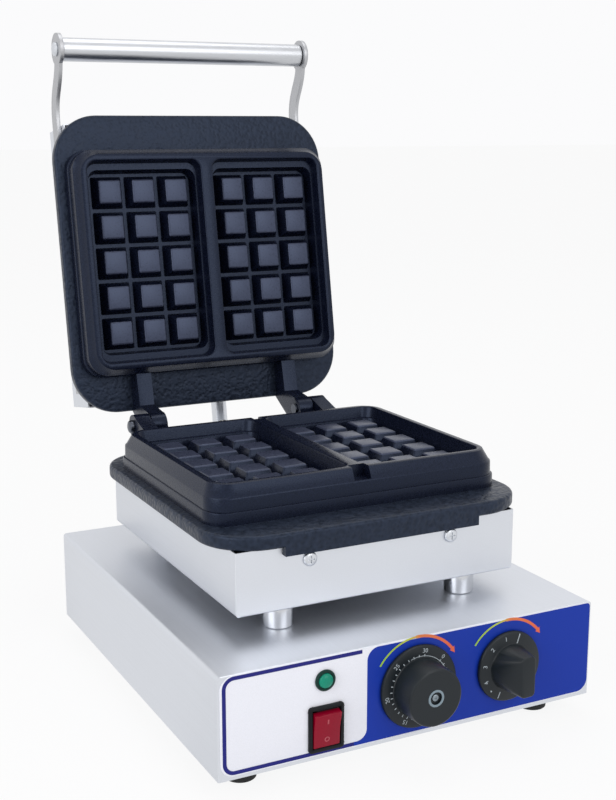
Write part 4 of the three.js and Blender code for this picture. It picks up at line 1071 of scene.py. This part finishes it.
class WAFFLE_OT_standoffs(bpy.types.Operator):
    """Model the four polished standoffs between the casing and the heater box"""

    bl_idname = "waffle.standoffs"
    bl_label = "Standoffs"

    def execute(self, context):
        low, high = CASING_TOP + 0.1 * MM, TRAY_LOW.z - 0.1 * MM
        radius, stud, reach, ease = 10 * MM, 3 * MM, 7 * MM, 0.6 * MM
        post = turned(
            "standoff",
            [
                (stud, low - reach),
                (stud, low),
                (radius - ease, low),
                (radius, low + ease),
                (radius, high - ease),
                (radius - ease, high),
                (stud, high),
                (stud, high + reach),
            ],
            64,
        )
        eased(post, 0.15 * MM)
        for node in ("front_left", "front_right", "rear_left", "rear_right"):
            spot = middle_of(f"standoff_{node}")
            copy = copied(post, f"post_{node}", Matrix.Translation((spot.x, spot.y, 0)))
            placed(copy, "base", "standoffs", bright_steel(), f"standoff_{node}")
        bpy.data.objects.remove(post, do_unlink=True)
        return {"FINISHED"}


def tray(name):
    """A folded tray, open above, with its floor's underside at Z = 0"""
    width, depth, height = TRAY_HIGH - TRAY_LOW
    piece = block(name, (-width / 2, -depth / 2, 0), (width / 2, depth / 2, height))
    with editing(piece):
        choose(piece, "faces", lambda face: face.normal.z > 0.5)
        bpy.ops.mesh.delete(type="FACE")
        round_folds(piece, level=0, side=3 * MM, end=1.2 * MM, corner=0.8 * MM)
    return modify(piece, "SOLIDIFY", thickness=MM, offset=-1)


def pan_head(name, radius, height, shank, reach):
    """A cross recess screw with its seat at Z = 0 and its head above"""
    screw = turned(
        name,
        [
            (shank, -reach),
            (shank, 0),
            (radius - 0.2 * MM, 0),
            (radius, 0.25 * height),
            (0.97 * radius, 0.5 * height),
            (0.85 * radius, 0.78 * height),
            (0.62 * radius, 0.94 * height),
            (0.3 * radius, height),
        ],
        32,
    )
    arm, half, depth = 0.5 * radius, 0.08 * radius, 0.4 * height
    for x, y in ((arm, half), (half, arm)):
        cut(screw, block("recess", (-x, -y, height - depth), (x, y, 2 * height)))
    return screw


def tray_screws(slot, prefix, where, body):
    """Four screws through a tray's end walls into the casting"""
    screw = pan_head("screw", radius=4.8 * MM, height=2.3 * MM, shank=2 * MM, reach=9 * MM)
    seat = -(TRAY_HIGH - TRAY_LOW).y / 2 - 0.1 * MM
    for end, turn, sign in (("front", Matrix.Identity(4), 1), ("rear", HALF_TURN_Z, -1)):
        for side, x in (("left", -52 * MM), ("right", 52 * MM)):
            node = f"{prefix}_{end}_{side}"
            shift = Matrix.Translation((sign * x, seat, -46 * MM))
            copy = copied(screw, f"{node}_head", where @ turn @ shift @ FACE_FRONT)
            placed(copy, body, slot, small_steel(), node)
    bpy.data.objects.remove(screw, do_unlink=True)


class WAFFLE_OT_heater_box(bpy.types.Operator):
    """Model the heater box under the lower casting, with its screws"""

    bl_idname = "waffle.heater_box"
    bl_label = "Heater box"

    def execute(self, context):
        box = moved(tray("heater_tray"), Matrix.Translation((0, PLATE_Y, TRAY_LOW.z)))
        placed(box, "base", "heater_box", steel_sheet(), "heater_box")
        tray_screws("heater_box_screws", "heater_box_screw", LOWER_PLATE, "base")
        return {"FINISHED"}


class WAFFLE_OT_lid_cover(bpy.types.Operator):
    """Model the cover over the upper casting, with its screws"""

    bl_idname = "waffle.lid_cover"
    bl_label = "Lid cover"

    def execute(self, context):
        casting_back, height = -35.3 * MM, (TRAY_HIGH - TRAY_LOW).z
        place = UPPER_PLATE @ Matrix.Translation((0, 0, casting_back - height))
        cover = moved(tray("cover_tray"), place)
        # The same brushed sheet as the casing's, with its grain from side to side
        steel = brushed_stainless("brushed_stainless_cover", settings().finishes.steel, 0)
        placed(cover, "lid", "lid_cover", steel, "lid_cover")
        tray_screws("lid_cover_screws", "lid_cover_screw", UPPER_PLATE, "lid")
        return {"FINISHED"}


# Castings, modelled with the parting plane at Z = 0, the cavities open upwards and the hinge towards +Y


def cavity_cutter(side):
    """What one cavity takes out of a casting: a mouth with a rounded lip, a ledge, and the well under it"""
    lip, ledge = settings().plates.lip, -8 * MM
    width, depth = 93 * MM, 155 * MM
    # The lip starts a hair over the parting plane, and the well a hair under its ledge, to cut cleanly
    hair = 0.01 * MM
    rings = [(width + 2 * lip, depth + 2 * lip, 2 * MM)]
    for angle in (0, 30, 60, 90):
        turn = math.radians(angle)
        out = lip * (1 - math.sin(turn))
        rings.append((width + 2 * out, depth + 2 * out, lip * (math.cos(turn) - 1) + 2 * hair))
    rings.append((width - 3 * MM, depth - 3 * MM, ledge))
    draft = 4 * MM
    rings.append((WELL_FLOOR[0] + draft, WELL_FLOOR[1] + draft, ledge - hair))
    rings.append((*WELL_FLOOR, -17.3 * MM))
    mouth = stepped("mouth", 8 * MM, rings, 10)
    return moved(mouth, Matrix.Translation((side * CAVITY_X, 0, 0)))


def waffle_studs():
    """The rows of tapered studs in both cavities, as one piece"""
    sizes = settings().plates
    pitch, half, top_half = 27.3 * MM, 12.6 * MM, 8.5 * MM
    taper = top_half / half
    stud = block("studs", (-half, -half, -17.6 * MM), (half, half, STUD_TOP))
    with editing(stud):
        choose(stud, "faces", lambda face: face.normal.z > 0.9)
        bpy.ops.transform.resize(value=(taper, taper, 1), center_override=(0, 0, STUD_TOP))
    eased(stud, sizes.stud_edge, 3)
    copies = []
    for side in (-1, 1):
        for column in range(sizes.columns):
            for row in range(sizes.rows):
                x = side * CAVITY_X + (column - (sizes.columns - 1) / 2) * pitch
                y = (row - (sizes.rows - 1) / 2) * pitch
                copies.append(copied(stud, "stud", Matrix.Translation((x, y, 0))))
    bpy.data.objects.remove(stud, do_unlink=True)
    return joined(*copies)


def is_flange(face):
    """Whether a face of a casting was left as cast: the flange, the tab and the lugs' feet"""
    return face.calc_center_median().z < -25.2 * MM


def is_stud_top(face):
    """Whether a face of a casting belongs to the top of a stud, its rounded edge with it: the faces with
    the painted highlight
    """
    centre = face.calc_center_median()
    across, along = abs(abs(centre.x) - CAVITY_X), abs(centre.y)
    in_well = across < WELL_FLOOR[0] / 2 and along < WELL_FLOOR[1] / 2
    slack = 0.1 * MM
    lowest = STUD_TOP - settings().plates.stud_edge - slack
    return in_well and lowest < centre.z < STUD_TOP + slack and face.normal.z > 0.1


def lug(points, x):
    """A hinge lug from a drawn web and a round knuckle, about the hinge axis"""
    knuckle = 9 * MM
    web = drawn("web", in_metres(points), -LUG_HALF, LUG_HALF)
    united(web, turned("knuckle", [(knuckle, -LUG_HALF), (knuckle, LUG_HALF)], 48))
    eased(web, settings().plates.lug_edge, 2, 50)
    return moved(web, Matrix.Translation((x, 0, 0)) @ FACE_RIGHT)


def base_lug(side):
    """A hinge lug of the lower casting, outside the lid's"""
    points = [(-41.5, -22.25), (-12, -22.25), (4.5, -7.79), (9, 0), (0, 9), (-41.5, -3)]
    return moved(lug(points, side * 76 * MM), Matrix.Translation((0, HINGE_REACH, -HINGE_DROP)))


def lid_lug(side):
    """A hinge lug of the upper casting; its heel comes up to the lower flange as the lid opens"""
    points = [(-41.5, 38.85), (-41.5, 19.6), (-14.4, 17.4), (-9, 0), (9, 0), (7.2, 14.4), (-12, 38.85)]
    x = side * 63 * MM
    web = lug(points, x)
    heel_points = [(-9.7, 0), (-9.7, -26), (0, -26), (0, 0)]
    heel = drawn("heel", in_metres(heel_points), -LUG_HALF, LUG_HALF)
    moved(heel, Matrix.Rotation(OPEN_ANGLE, 4, "X") @ Matrix.Translation((x, 0, 0)) @ FACE_RIGHT)
    united(web, heel)
    return moved(web, HALF_TURN_Y @ Matrix.Translation((0, HINGE_REACH, -LID_PLATE_Z)))


def casting(name, lugs, notched):
    """One waffle casting: flange, stepped rim, cavities, studs, front tab and hinge lugs"""
    flange_width, flange_depth, flange_corner = 230 * MM, 233 * MM, 36 * MM
    body = slab(name, flange_width, flange_depth, flange_corner, -35 * MM, -25.5 * MM, 16)
    eased(body, settings().plates.flange_edge, 4)
    # Width, depth and height in millimetres: a lower tier with its bead, an upper tier and the sloped rim
    rings = (
        (216.4, 176.4, -33),
        (216.4, 176.4, -18.2),
        (216.1, 176.1, -17.5),
        (215.4, 175.4, -17.2),
        (214.2, 174.2, -17.1),
        (213.9, 173.9, -9.1),
        (213.5, 173.4, -8.3),
        (212.4, 172.2, -7.8),
        (206.8, 165.9, -1.5),
        (205.8, 164.9, -0.45),
        (204, 163.1, 0),
    )
    tiers = stepped("tiers", 16 * MM, in_metres(rings), 12)
    tools = [cavity_cutter(-1), cavity_cutter(1)]
    if notched:
        inner, outer, floor, above = 75.5 * MM, 90 * MM, -8 * MM, 2 * MM
        wide, narrow = 6.2 * MM, 3.2 * MM
        tools.append(block("notch", (-wide, -outer, floor), (wide, -inner, above)))
        tools.append(block("notch", (-narrow, inner, floor), (narrow, outer, above)))
    cut(tiers, *tools)
    tab_half = 71 * MM
    tab = block("tab", (-tab_half, -116.4 * MM, -40.5 * MM), (tab_half, -111.6 * MM, -30 * MM))
    united(body, tiers, tab, *lugs)
    joined(body, waffle_studs())

    tints = settings().finishes
    # The width and the depth of each grain
    fine, coarse = (1.1 * MM, 0.03 * MM), (2.6 * MM, 0.4 * MM)
    for coat in (
        coated_casting("ptfe_on_machined_casting", tints.coating, *fine, roughness=0.27, spread=0.25),
        coated_casting("ptfe_on_sand_casting", tints.rough_coating, *coarse, roughness=0.36, spread=0.4),
        # The stud tops and their edges get a lighter coat: a painted highlight
        coated_casting(
            "ptfe_on_rubbed_studs", tints.stud_coating, *fine, roughness=0.32, spread=0.2, index=1.55
        ),
    ):
        body.data.materials.append(coat)
    with editing(body):
        for coat_index, test in ((1, is_flange), (2, is_stud_top)):
            choose(body, "faces", test)
            body.active_material_index = coat_index
            bpy.ops.object.material_slot_assign()
    return body


class WAFFLE_OT_lower_casting(bpy.types.Operator):
    """Model the lower waffle casting with its hinge lugs and notches"""

    bl_idname = "waffle.lower_casting"
    bl_label = "Lower casting"

    def execute(self, context):
        body = casting("lower_casting", [base_lug(-1), base_lug(1)], True)
        placed(moved(body, LOWER_PLATE), "base", "waffle_plates", None, "lower_plate")
        return {"FINISHED"}


class WAFFLE_OT_upper_casting(bpy.types.Operator):
    """Model the upper waffle casting with its hinge lugs"""

    bl_idname = "waffle.upper_casting"
    bl_label = "Upper casting"

    def execute(self, context):
        body = casting("upper_casting", [lid_lug(-1), lid_lug(1)], False)
        placed(moved(body, UPPER_PLATE), "lid", "waffle_plates", None, "upper_plate")
        return {"FINISHED"}


class WAFFLE_OT_hinge_pins(bpy.types.Operator):
    """Model the two headed hinge pins"""

    bl_idname = "waffle.hinge_pins"
    bl_label = "Hinge pins"

    def execute(self, context):
        shank, washer, clip, seat = 3.2 * MM, 4.3 * MM, 56.7 * MM, 82.2 * MM
        pin = turned(
            "pin",
            [
                (washer, clip - 1.5 * MM),
                (washer, clip),
                (shank, clip),
                (shank, seat),
                (shank + 1.7 * MM, seat),
                (shank + 1.8 * MM, seat + 1.8 * MM),
                (shank + 1.2 * MM, seat + 2.9 * MM),
                (shank - 0.2 * MM, seat + 3.5 * MM),
                (shank - 1.8 * MM, seat + 3.6 * MM),
            ],
            40,
        )
        # Chemically blackened steel: dark grey, with a low sheen
        dark = polished_steel("blackened_steel", linear("#5B5F68"), 0.3)
        for side, turn in (("right", Matrix.Identity(4)), ("left", HALF_TURN_Z)):
            place = Matrix.Translation(HINGE) @ turn @ FACE_RIGHT
            copy = copied(pin, f"hinge_bolt_{side}", place)
            placed(copy, "base", "hinge_pins", dark, f"hinge_pin_{side}")
        bpy.data.objects.remove(pin, do_unlink=True)
        return {"FINISHED"}


# Handle


def arm_outline(half):
    """The side view of an arm, along and across the lid: straight, then bent to its eye"""
    start, tail = -115.2 * MM, 100 * MM
    middle_x = (start + EYE_ALONG) / 2
    handles = [(start, 0), (middle_x, 0), (middle_x, EYE_ACROSS), (EYE_ALONG, EYE_ACROSS)]
    upper, lower = [], []
    steps = 14
    for i in range(steps + 1):
        t = i / steps
        weights = ((1 - t) ** 3, 3 * t * (1 - t) ** 2, 3 * t * t * (1 - t), t**3)
        slopes = (
            -3 * (1 - t) ** 2,
            3 * (1 - t) ** 2 - 6 * t * (1 - t),
            6 * t * (1 - t) - 3 * t * t,
            3 * t * t,
        )
        x, y = (sum(w * p[k] for w, p in zip(weights, handles)) for k in (0, 1))
        dx, dy = (sum(w * p[k] for w, p in zip(slopes, handles)) for k in (0, 1))
        size = math.hypot(dx, dy)
        upper.append((x + dy / size * half, y - dx / size * half))
        lower.append((x - dy / size * half, y + dx / size * half))
    return [(tail, half), *upper, *reversed(lower), (tail, -half)]


class WAFFLE_OT_handle(bpy.types.Operator):
    """Model the handle: its two arms with eyes, the rivets, the tube and its bolts"""

    bl_idname = "waffle.handle"
    bl_label = "Handle"

    def execute(self, context):
        sizes = settings().handle
        inner, outer = 102.9 * MM, 105.9 * MM
        arm = drawn("arm", arm_outline(sizes.arm_width / 2), inner, outer)
        eye = turned("eye", [(sizes.eye_radius, 0), (sizes.eye_radius, outer - inner)], 64)
        united(arm, moved(eye, Matrix.Translation((EYE_ALONG, EYE_ACROSS, inner))))
        eased(arm, 0.45 * MM, 2)
        moved(arm, FACE_RIGHT)
        lane = LID @ Matrix.Translation((0, -HINGE_REACH, LID_PLATE_Z + 48 * MM))
        # Flat bar with a satin brush: greyer and duller than the tube
        satin = brushed_stainless("satin_steel_strap", linear("#B8B9BC"), 2)
        # Heads sit on the arm's outside, and a rivet's tail is set against the cover's inside
        seat, cover_inside, shank = outer + 0.1 * MM, 101.3 * MM, 2.5 * MM
        rivet = turned(
            "rivet",
            [
                (shank + 1.1 * MM, cover_inside - 2 * MM),
                (shank + 1.1 * MM, cover_inside),
                (shank, cover_inside),
                (shank, seat),
                (shank + 2 * MM, seat),
                (shank + 1.7 * MM, seat + 1.2 * MM),
                (shank + 0.7 * MM, seat + 1.9 * MM),
                (shank - MM, seat + 2.2 * MM),
            ],
            32,
        )
        shank = 3 * MM
        bolt = turned(
            "bolt",
            [
                (shank, seat - 19 * MM),
                (shank, seat),
                (shank + 2.2 * MM, seat),
                (shank + 2.4 * MM, seat + 0.6 * MM),
                (shank + 2 * MM, seat + 1.7 * MM),
                (shank + 0.8 * MM, seat + 2.5 * MM),
                (shank - MM, seat + 2.9 * MM),
            ],
            40,
        )
        eye_place = Matrix.Translation((0, EYE_ALONG, EYE_ACROSS))
        for side, turn, across in (
            ("left", HALF_TURN_Z, -(inner + outer)),
            ("right", Matrix.Identity(4), 0),
        ):
            strap = copied(arm, f"strap_{side}", lane @ Matrix.Translation((across, 0, 0)))
            placed(strap, "lid", "handle_arms", satin, f"handle_arm_{side}")
            for end, along in (("front", -70 * MM), ("rear", 70 * MM)):
                spot = lane @ Matrix.Translation((0, along, 0)) @ turn @ FACE_RIGHT
                copy = copied(rivet, f"rivet_{end}_{side}", spot)
                placed(copy, "lid", "handle_rivets", satin, f"handle_arm_rivet_{end}_{side}")
            copy = copied(bolt, f"eye_bolt_{side}", lane @ eye_place @ turn @ FACE_RIGHT)
            placed(copy, "lid", "handle_bolts", small_steel(), f"handle_bolt_{side}")
        for spare in (arm, rivet, bolt):
            bpy.data.objects.remove(spare, do_unlink=True)
        # The tube's right half, from its outside round the end into its bore, and its mirror on the left
        end, radius = inner - 0.6 * MM, sizes.tube_radius
        half_tube = [
            (radius, end - 0.6 * MM),
            (radius - 0.5 * MM, end),
            (radius - 1.4 * MM, end),
            (radius - 1.6 * MM, end - 1.2 * MM),
        ]
        mirrored = [(out, -along) for out, along in reversed(half_tube)]
        tube = moved(turned("grip_tube", mirrored + half_tube, 64), lane @ eye_place @ FACE_RIGHT)
        # Drawn tube, polished by a wheel: bright and dark bands along it, softer than a mirror's
        drawn_steel = polished_steel("polished_drawn_tube", settings().finishes.polished, 0.3)
        placed(tube, "lid", "handle_tube", drawn_steel, "handle_tube")
        return {"FINISHED"}


# Conduit and gland


def hex_nut(radius, top, ease):
    """A hexagonal nut about the Z axis, a hair over Z = 0"""
    return eased(turned("nut", [(radius, 0.1 * MM), (radius, top)], 6), ease)


def sleeve_fitting(name, reach):
    """A conduit fitting that stands on a wall: thread and smooth collar"""
    radius, thread = 6.3 * MM, -7 * MM
    return turned(
        name,
        [
            (radius - 0.7 * MM, thread),
            (radius, thread + 0.6 * MM),
            (radius, reach - 0.8 * MM),
            (radius - 0.4 * MM, reach),
            (radius - 1.1 * MM, reach),
            (radius - 1.2 * MM, reach - 1.5 * MM),
        ],
        48,
    )


class WAFFLE_OT_conduit(bpy.types.Operator):
    """Model the ribbed conduit that bends across the hinge, and its two fittings"""

    bl_idname = "waffle.conduit"
    bl_label = "Conduit"

    def execute(self, context):
        foot = middle_of("lower_conduit_fitting")
        foot.z = CASING_TOP
        collar, overlap = 14 * MM, 1.2 * MM
        # Nickel plated brass: pale metal with a warm cast
        brass = polished_steel("plated_brass", linear("#B9B4A4"), 0.25)
        fitting = sleeve_fitting("casing_fitting", collar)
        joined(fitting, hex_nut(10 * MM, 5.1 * MM, 0.5 * MM))
        moved(fitting, Matrix.Translation(foot))
        placed(fitting, "base", "lower_conduit_fitting", brass, "lower_conduit_fitting")
        wall = Vector((foot.x, -15.3 * MM, 64.7 * MM))
        outward = LID @ Matrix.Translation(wall) @ Matrix.Rotation(math.radians(-90), 4, "X")
        upper = moved(sleeve_fitting("cover_fitting", 26 * MM), outward)
        placed(upper, "lid", "upper_conduit_fitting", small_steel(), "upper_conduit_fitting")

        start = foot + Vector((0, 0, collar - overlap))
        end = LID @ (wall + Vector((0, collar - overlap, 0)))
        pull = LID @ (wall + Vector((0, collar + 36 * MM, 0)))
        deselect_all()
        bpy.ops.curve.primitive_bezier_curve_add()
        route = bpy.context.object
        route.matrix_world = Matrix.Identity(4)
        first, last = route.data.splines[0].bezier_points
        for point in (first, last):
            point.handle_left_type = point.handle_right_type = "FREE"
        first.co, first.handle_left, first.handle_right = start, start, start + Vector((0, 0, 39 * MM))
        last.co, last.handle_left, last.handle_right = end, pull, end
        route.data.resolution_u = 64

        # One rib, drawn as a ring that steps out and back in, and then repeated along the route
        root, crest, pitch = 4.2 * MM, 4.95 * MM, 2.4 * MM
        count = int(route.data.splines[0].calc_length() / pitch)
        deselect_all()
        bpy.ops.mesh.primitive_circle_add(vertices=32, radius=root, fill_type="NOTHING")
        conduit = named("flexible_conduit")
        with editing(conduit):
            radius, height = root, 0
            for next_radius, next_height in (
                (crest, 0.5 * MM),
                (crest, 1.5 * MM),
                (root, 2 * MM),
                (root, pitch),
            ):
                rise = (0, 0, next_height - height)
                bpy.ops.mesh.extrude_region_move(TRANSFORM_OT_translate={"value": rise})
                scale = next_radius / radius
                bpy.ops.transform.resize(value=(scale, scale, 1), center_override=(0, 0, next_height))
                radius, height = next_radius, next_height
        modify(
            conduit,
            "ARRAY",
            count=count,
            use_relative_offset=False,
            use_constant_offset=True,
            constant_offset_displace=(0, 0, pitch),
            use_merge_vertices=True,
            merge_threshold=0.01 * MM,
        )
        with editing(conduit):
            bpy.ops.mesh.select_all(action="DESELECT")
            bpy.ops.mesh.select_mode(type="EDGE")
            bpy.ops.mesh.select_non_manifold()
            bpy.ops.mesh.fill_holes(sides=0)
            bpy.ops.mesh.select_all(action="SELECT")
            bpy.ops.mesh.normals_make_consistent(inside=False)
        modify(conduit, "CURVE", object=route, deform_axis="POS_Z")
        bpy.data.objects.remove(route, do_unlink=True)
        # Steel strip wound into a hose: warm grey, each rib with its own glint
        steel = polished_steel("interlocked_steel", linear("#B2B1AE"), 0.28)
        placed(conduit, None, "lid_conduit", steel, "lid_conduit", angle=25)
        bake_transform(conduit)
        return {"FINISHED"}


class WAFFLE_OT_cable_gland(bpy.types.Operator):
    """Model the cable gland in the rear wall"""

    bl_idname = "waffle.cable_gland"
    bl_label = "Cable gland"

    def execute(self, context):
        low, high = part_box("cable_gland")
        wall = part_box("base_casing")[1].y
        inside, reach = low.y - wall, high.y - wall
        thread, dome, shoulder, hole = 7.7 * MM, 9.6 * MM, 7.6 * MM, 4 * MM
        gland = turned(
            "gland",
            [
                (thread, inside),
                (thread, 0.1 * MM),
                (thread + 0.2 * MM, shoulder - 0.6 * MM),
                (dome, shoulder),
                (dome, shoulder + 2.9 * MM),
                (dome - 0.7 * MM, shoulder + 5.4 * MM),
                (dome - 2.4 * MM, reach - 0.6 * MM),
                (hole + 1.6 * MM, reach),
            ],
            48,
        )
        joined(gland, hex_nut(11 * MM, 6.4 * MM, 0.6 * MM))
        cut(gland, turned("bore", [(hole, inside - MM), (hole, reach + MM)], 32))
        place = Matrix.Translation(((low.x + high.x) / 2, wall, (low.z + high.z) / 2))
        face_rear = Matrix.Rotation(math.radians(-90), 4, "X")
        placed(moved(gland, place @ face_rear), "base", "cable_gland", black_nylon(), "cable_gland")
        return {"FINISHED"}


class WAFFLE_OT_inner_parts(bpy.types.Operator):
    """Give the nodes that stay as they are their finishes"""

    bl_idname = "waffle.inner_parts"
    bl_label = "Inner parts"

    def execute(self, context):
        # Urea moulding, ivory and satin, and zinc plated steel, a pale soft mirror
        pale = moulded("urea_moulding", linear("#E3DFD2"), 0.45)
        plated = polished_steel("zinc_plated_steel", linear("#A9ABAE"), 0.3)
        # The elements' nickel alloy sheath, browned by heat, and the chalky board behind them
        sheath = polished_steel("heated_nickel_alloy_sheath", linear("#6A645E"), 0.45)
        board = moulded("calcium_silicate_board", linear("#CBC7BA"), 0.9, 1.5 * MM, 0.1 * MM)
        # Drawn copper of the bulb and its capillary tube, and the leads' woven sleeving, matt off-white
        copper = polished_steel("drawn_copper", linear("#B4704A"), 0.3)
        sleeve = moulded("glass_fibre_sleeving", linear("#DEDACD"), 0.75, 0.8 * MM, 0.15 * MM)
        looks = {
            "bottom_plate": steel_sheet(),
            "lead_sleeve": plated,
            "terminal_block": pale,
            "timer_body": pale,
            "thermostat_body": plated,
            "timer_shaft": plated,
            "thermostat_shaft": plated,
            "wiring_loom": sleeve,
            "thermostat_bulb": copper,
        }
        for prefix in ("lower", "upper"):
            looks[f"{prefix}_element"] = sheath
            looks[f"{prefix}_element_clamp"] = plated
            looks[f"{prefix}_clamp_screw"] = plated
            looks[f"{prefix}_insulation"] = board
        for node, material in looks.items():
            mesh = frame["nodes"][node].data
            mesh.materials.clear()
            mesh.materials.append(material)
        return {"FINISHED"}


# Stage


def aimed(piece, target):
    """Turn a lamp or camera towards a point"""
    direction = Vector(target) - piece.location
    piece.rotation_euler = direction.to_track_quat("-Z", "Y").to_euler()


class WAFFLE_OT_stage(bpy.types.Operator):
    """Set up the camera, the even daylight, the soft lamps and the floor"""

    bl_idname = "waffle.stage"
    bl_label = "Stage"

    def execute(self, context):
        stage = settings().stage
        scene = context.scene
        scene.view_settings.view_transform = "Standard"

        # Where the photograph was taken from, solved from points on the casing, the castings and the handle
        standpoint = (-403 * MM, FRONT_Y - 637.8 * MM, 388.6 * MM)
        deselect_all()
        bpy.ops.object.camera_add(location=standpoint)
        camera = context.object
        camera.name = "photo_camera"
        camera.data.lens = stage.lens
        camera.data.sensor_width = 36
        heading = Vector(
            (
                math.sin(stage.yaw) * math.cos(stage.pitch),
                math.cos(stage.yaw) * math.cos(stage.pitch),
                -math.sin(stage.pitch),
            )
        )
        aimed(camera, camera.location + heading)
        scene.camera = camera

        for name, place, size, power in (
            ("left_softbox", (-1.9, -0.7, 1.0), 1.6, 16),
            ("front_softbox", (0.5, -2.2, 1.3), 1.5, 12),
            ("top_softbox", (0.3, 0.3, 2.3), 1.2, 7),
        ):
            bpy.ops.object.light_add(type="AREA", location=place)
            lamp = context.object
            lamp.name = name
            lamp.data.size = size
            lamp.data.energy = power
            aimed(lamp, (0, 0, 0.2))

        # The world is white to the camera and in reflections, and lights the object at the daylight's level
        world = bpy.data.worlds.new("daylight")
        scene.world = world
        world.use_nodes = True
        tree = world.node_tree
        sky = tree.nodes["Background"]
        sky.inputs["Color"].default_value = (*linear("#FBFBFC"), 1)
        path = add_node(world, "ShaderNodeLightPath")
        seen = add_node(
            world,
            "ShaderNodeMath",
            {0: path.outputs["Is Camera Ray"], 1: path.outputs["Is Glossy Ray"]},
            operation="MAXIMUM",
        )
        clear = add_node(
            world,
            "ShaderNodeMath",
            {0: seen.outputs[0], 1: path.outputs["Is Transmission Ray"]},
            operation="MAXIMUM",
        )
        level = add_node(world, "ShaderNodeMapRange", {"Value": clear.outputs[0], "To Min": stage.daylight})
        tree.links.new(level.outputs["Result"], sky.inputs["Strength"])

        deselect_all()
        bpy.ops.mesh.primitive_plane_add(size=40, location=(0, 0, 0))
        floor = named("floor")
        paper = bpy.data.materials.new("matt_backdrop_paper")
        paper.use_nodes = True
        shader = paper.node_tree.nodes["Principled BSDF"]
        shader.inputs["Base Color"].default_value = (*stage.floor, 1)
        shader.inputs["Roughness"].default_value = 0.9
        # Most of the paper glows white to the camera and in reflections, and the rest keeps the shadow
        glow_share = 0.88
        glow = add_node(paper, "ShaderNodeEmission", {"Color": (1, 1, 1, 1), "Strength": 1})
        ray = add_node(paper, "ShaderNodeLightPath")
        watched = add_node(
            paper,
            "ShaderNodeMath",
            {0: ray.outputs["Is Camera Ray"], 1: ray.outputs["Is Glossy Ray"]},
            operation="MAXIMUM",
        )
        share = add_node(
            paper, "ShaderNodeMath", {0: watched.outputs[0], 1: glow_share}, operation="MULTIPLY"
        )
        blend = add_node(
            paper,
            "ShaderNodeMixShader",
            {0: share.outputs[0], 1: shader.outputs["BSDF"], 2: glow.outputs["Emission"]},
        )
        output = paper.node_tree.nodes["Material Output"]
        paper.node_tree.links.new(blend.outputs["Shader"], output.inputs["Surface"])
        floor.data.materials.append(paper)
        return {"FINISHED"}


PIECES = (
    WAFFLE_OT_casing,
    WAFFLE_OT_front_panel,
    WAFFLE_OT_lamp_and_switch,
    WAFFLE_OT_timer_knob,
    WAFFLE_OT_thermostat_knob,
    WAFFLE_OT_standoffs,
    WAFFLE_OT_heater_box,
    WAFFLE_OT_lower_casting,
    WAFFLE_OT_upper_casting,
    WAFFLE_OT_hinge_pins,
    WAFFLE_OT_lid_cover,
    WAFFLE_OT_handle,
    WAFFLE_OT_conduit,
    WAFFLE_OT_cable_gland,
    WAFFLE_OT_inner_parts,
    WAFFLE_OT_stage,
)


class WAFFLE_PT_pieces(bpy.types.Panel):
    """Lists the waffle maker's pieces and settings"""

    bl_idname = "WAFFLE_PT_pieces"
    bl_label = "Waffle maker"
    bl_space_type = "VIEW_3D"
    bl_region_type = "UI"
    bl_category = "Waffle maker"

    def draw(self, context):
        for piece in PIECES:
            self.layout.operator(piece.bl_idname)
        for group in ("casing", "plates", "handle", "finishes", "stage"):
            box = self.layout.box()
            values = getattr(settings(), group)
            for key in values.__annotations__:
                box.prop(values, key)


GROUPS = (CasingSettings, PlateSettings, HandleSettings, Finishes, StageSettings, WaffleMaker)
CLASSES = (*GROUPS, *PIECES, WAFFLE_PT_pieces)


def register():
    for each in CLASSES:
        bpy.utils.register_class(each)
    bpy.types.Scene.waffle_maker = PointerProperty(type=WaffleMaker)


def unregister():
    del bpy.types.Scene.waffle_maker
    for each in reversed(CLASSES):
        bpy.utils.unregister_class(each)


def main():
    register()
    for piece in PIECES:
        name = piece.bl_idname.split(".")[1]
        getattr(bpy.ops.waffle, name)()


if __name__ == "__main__":
    main()
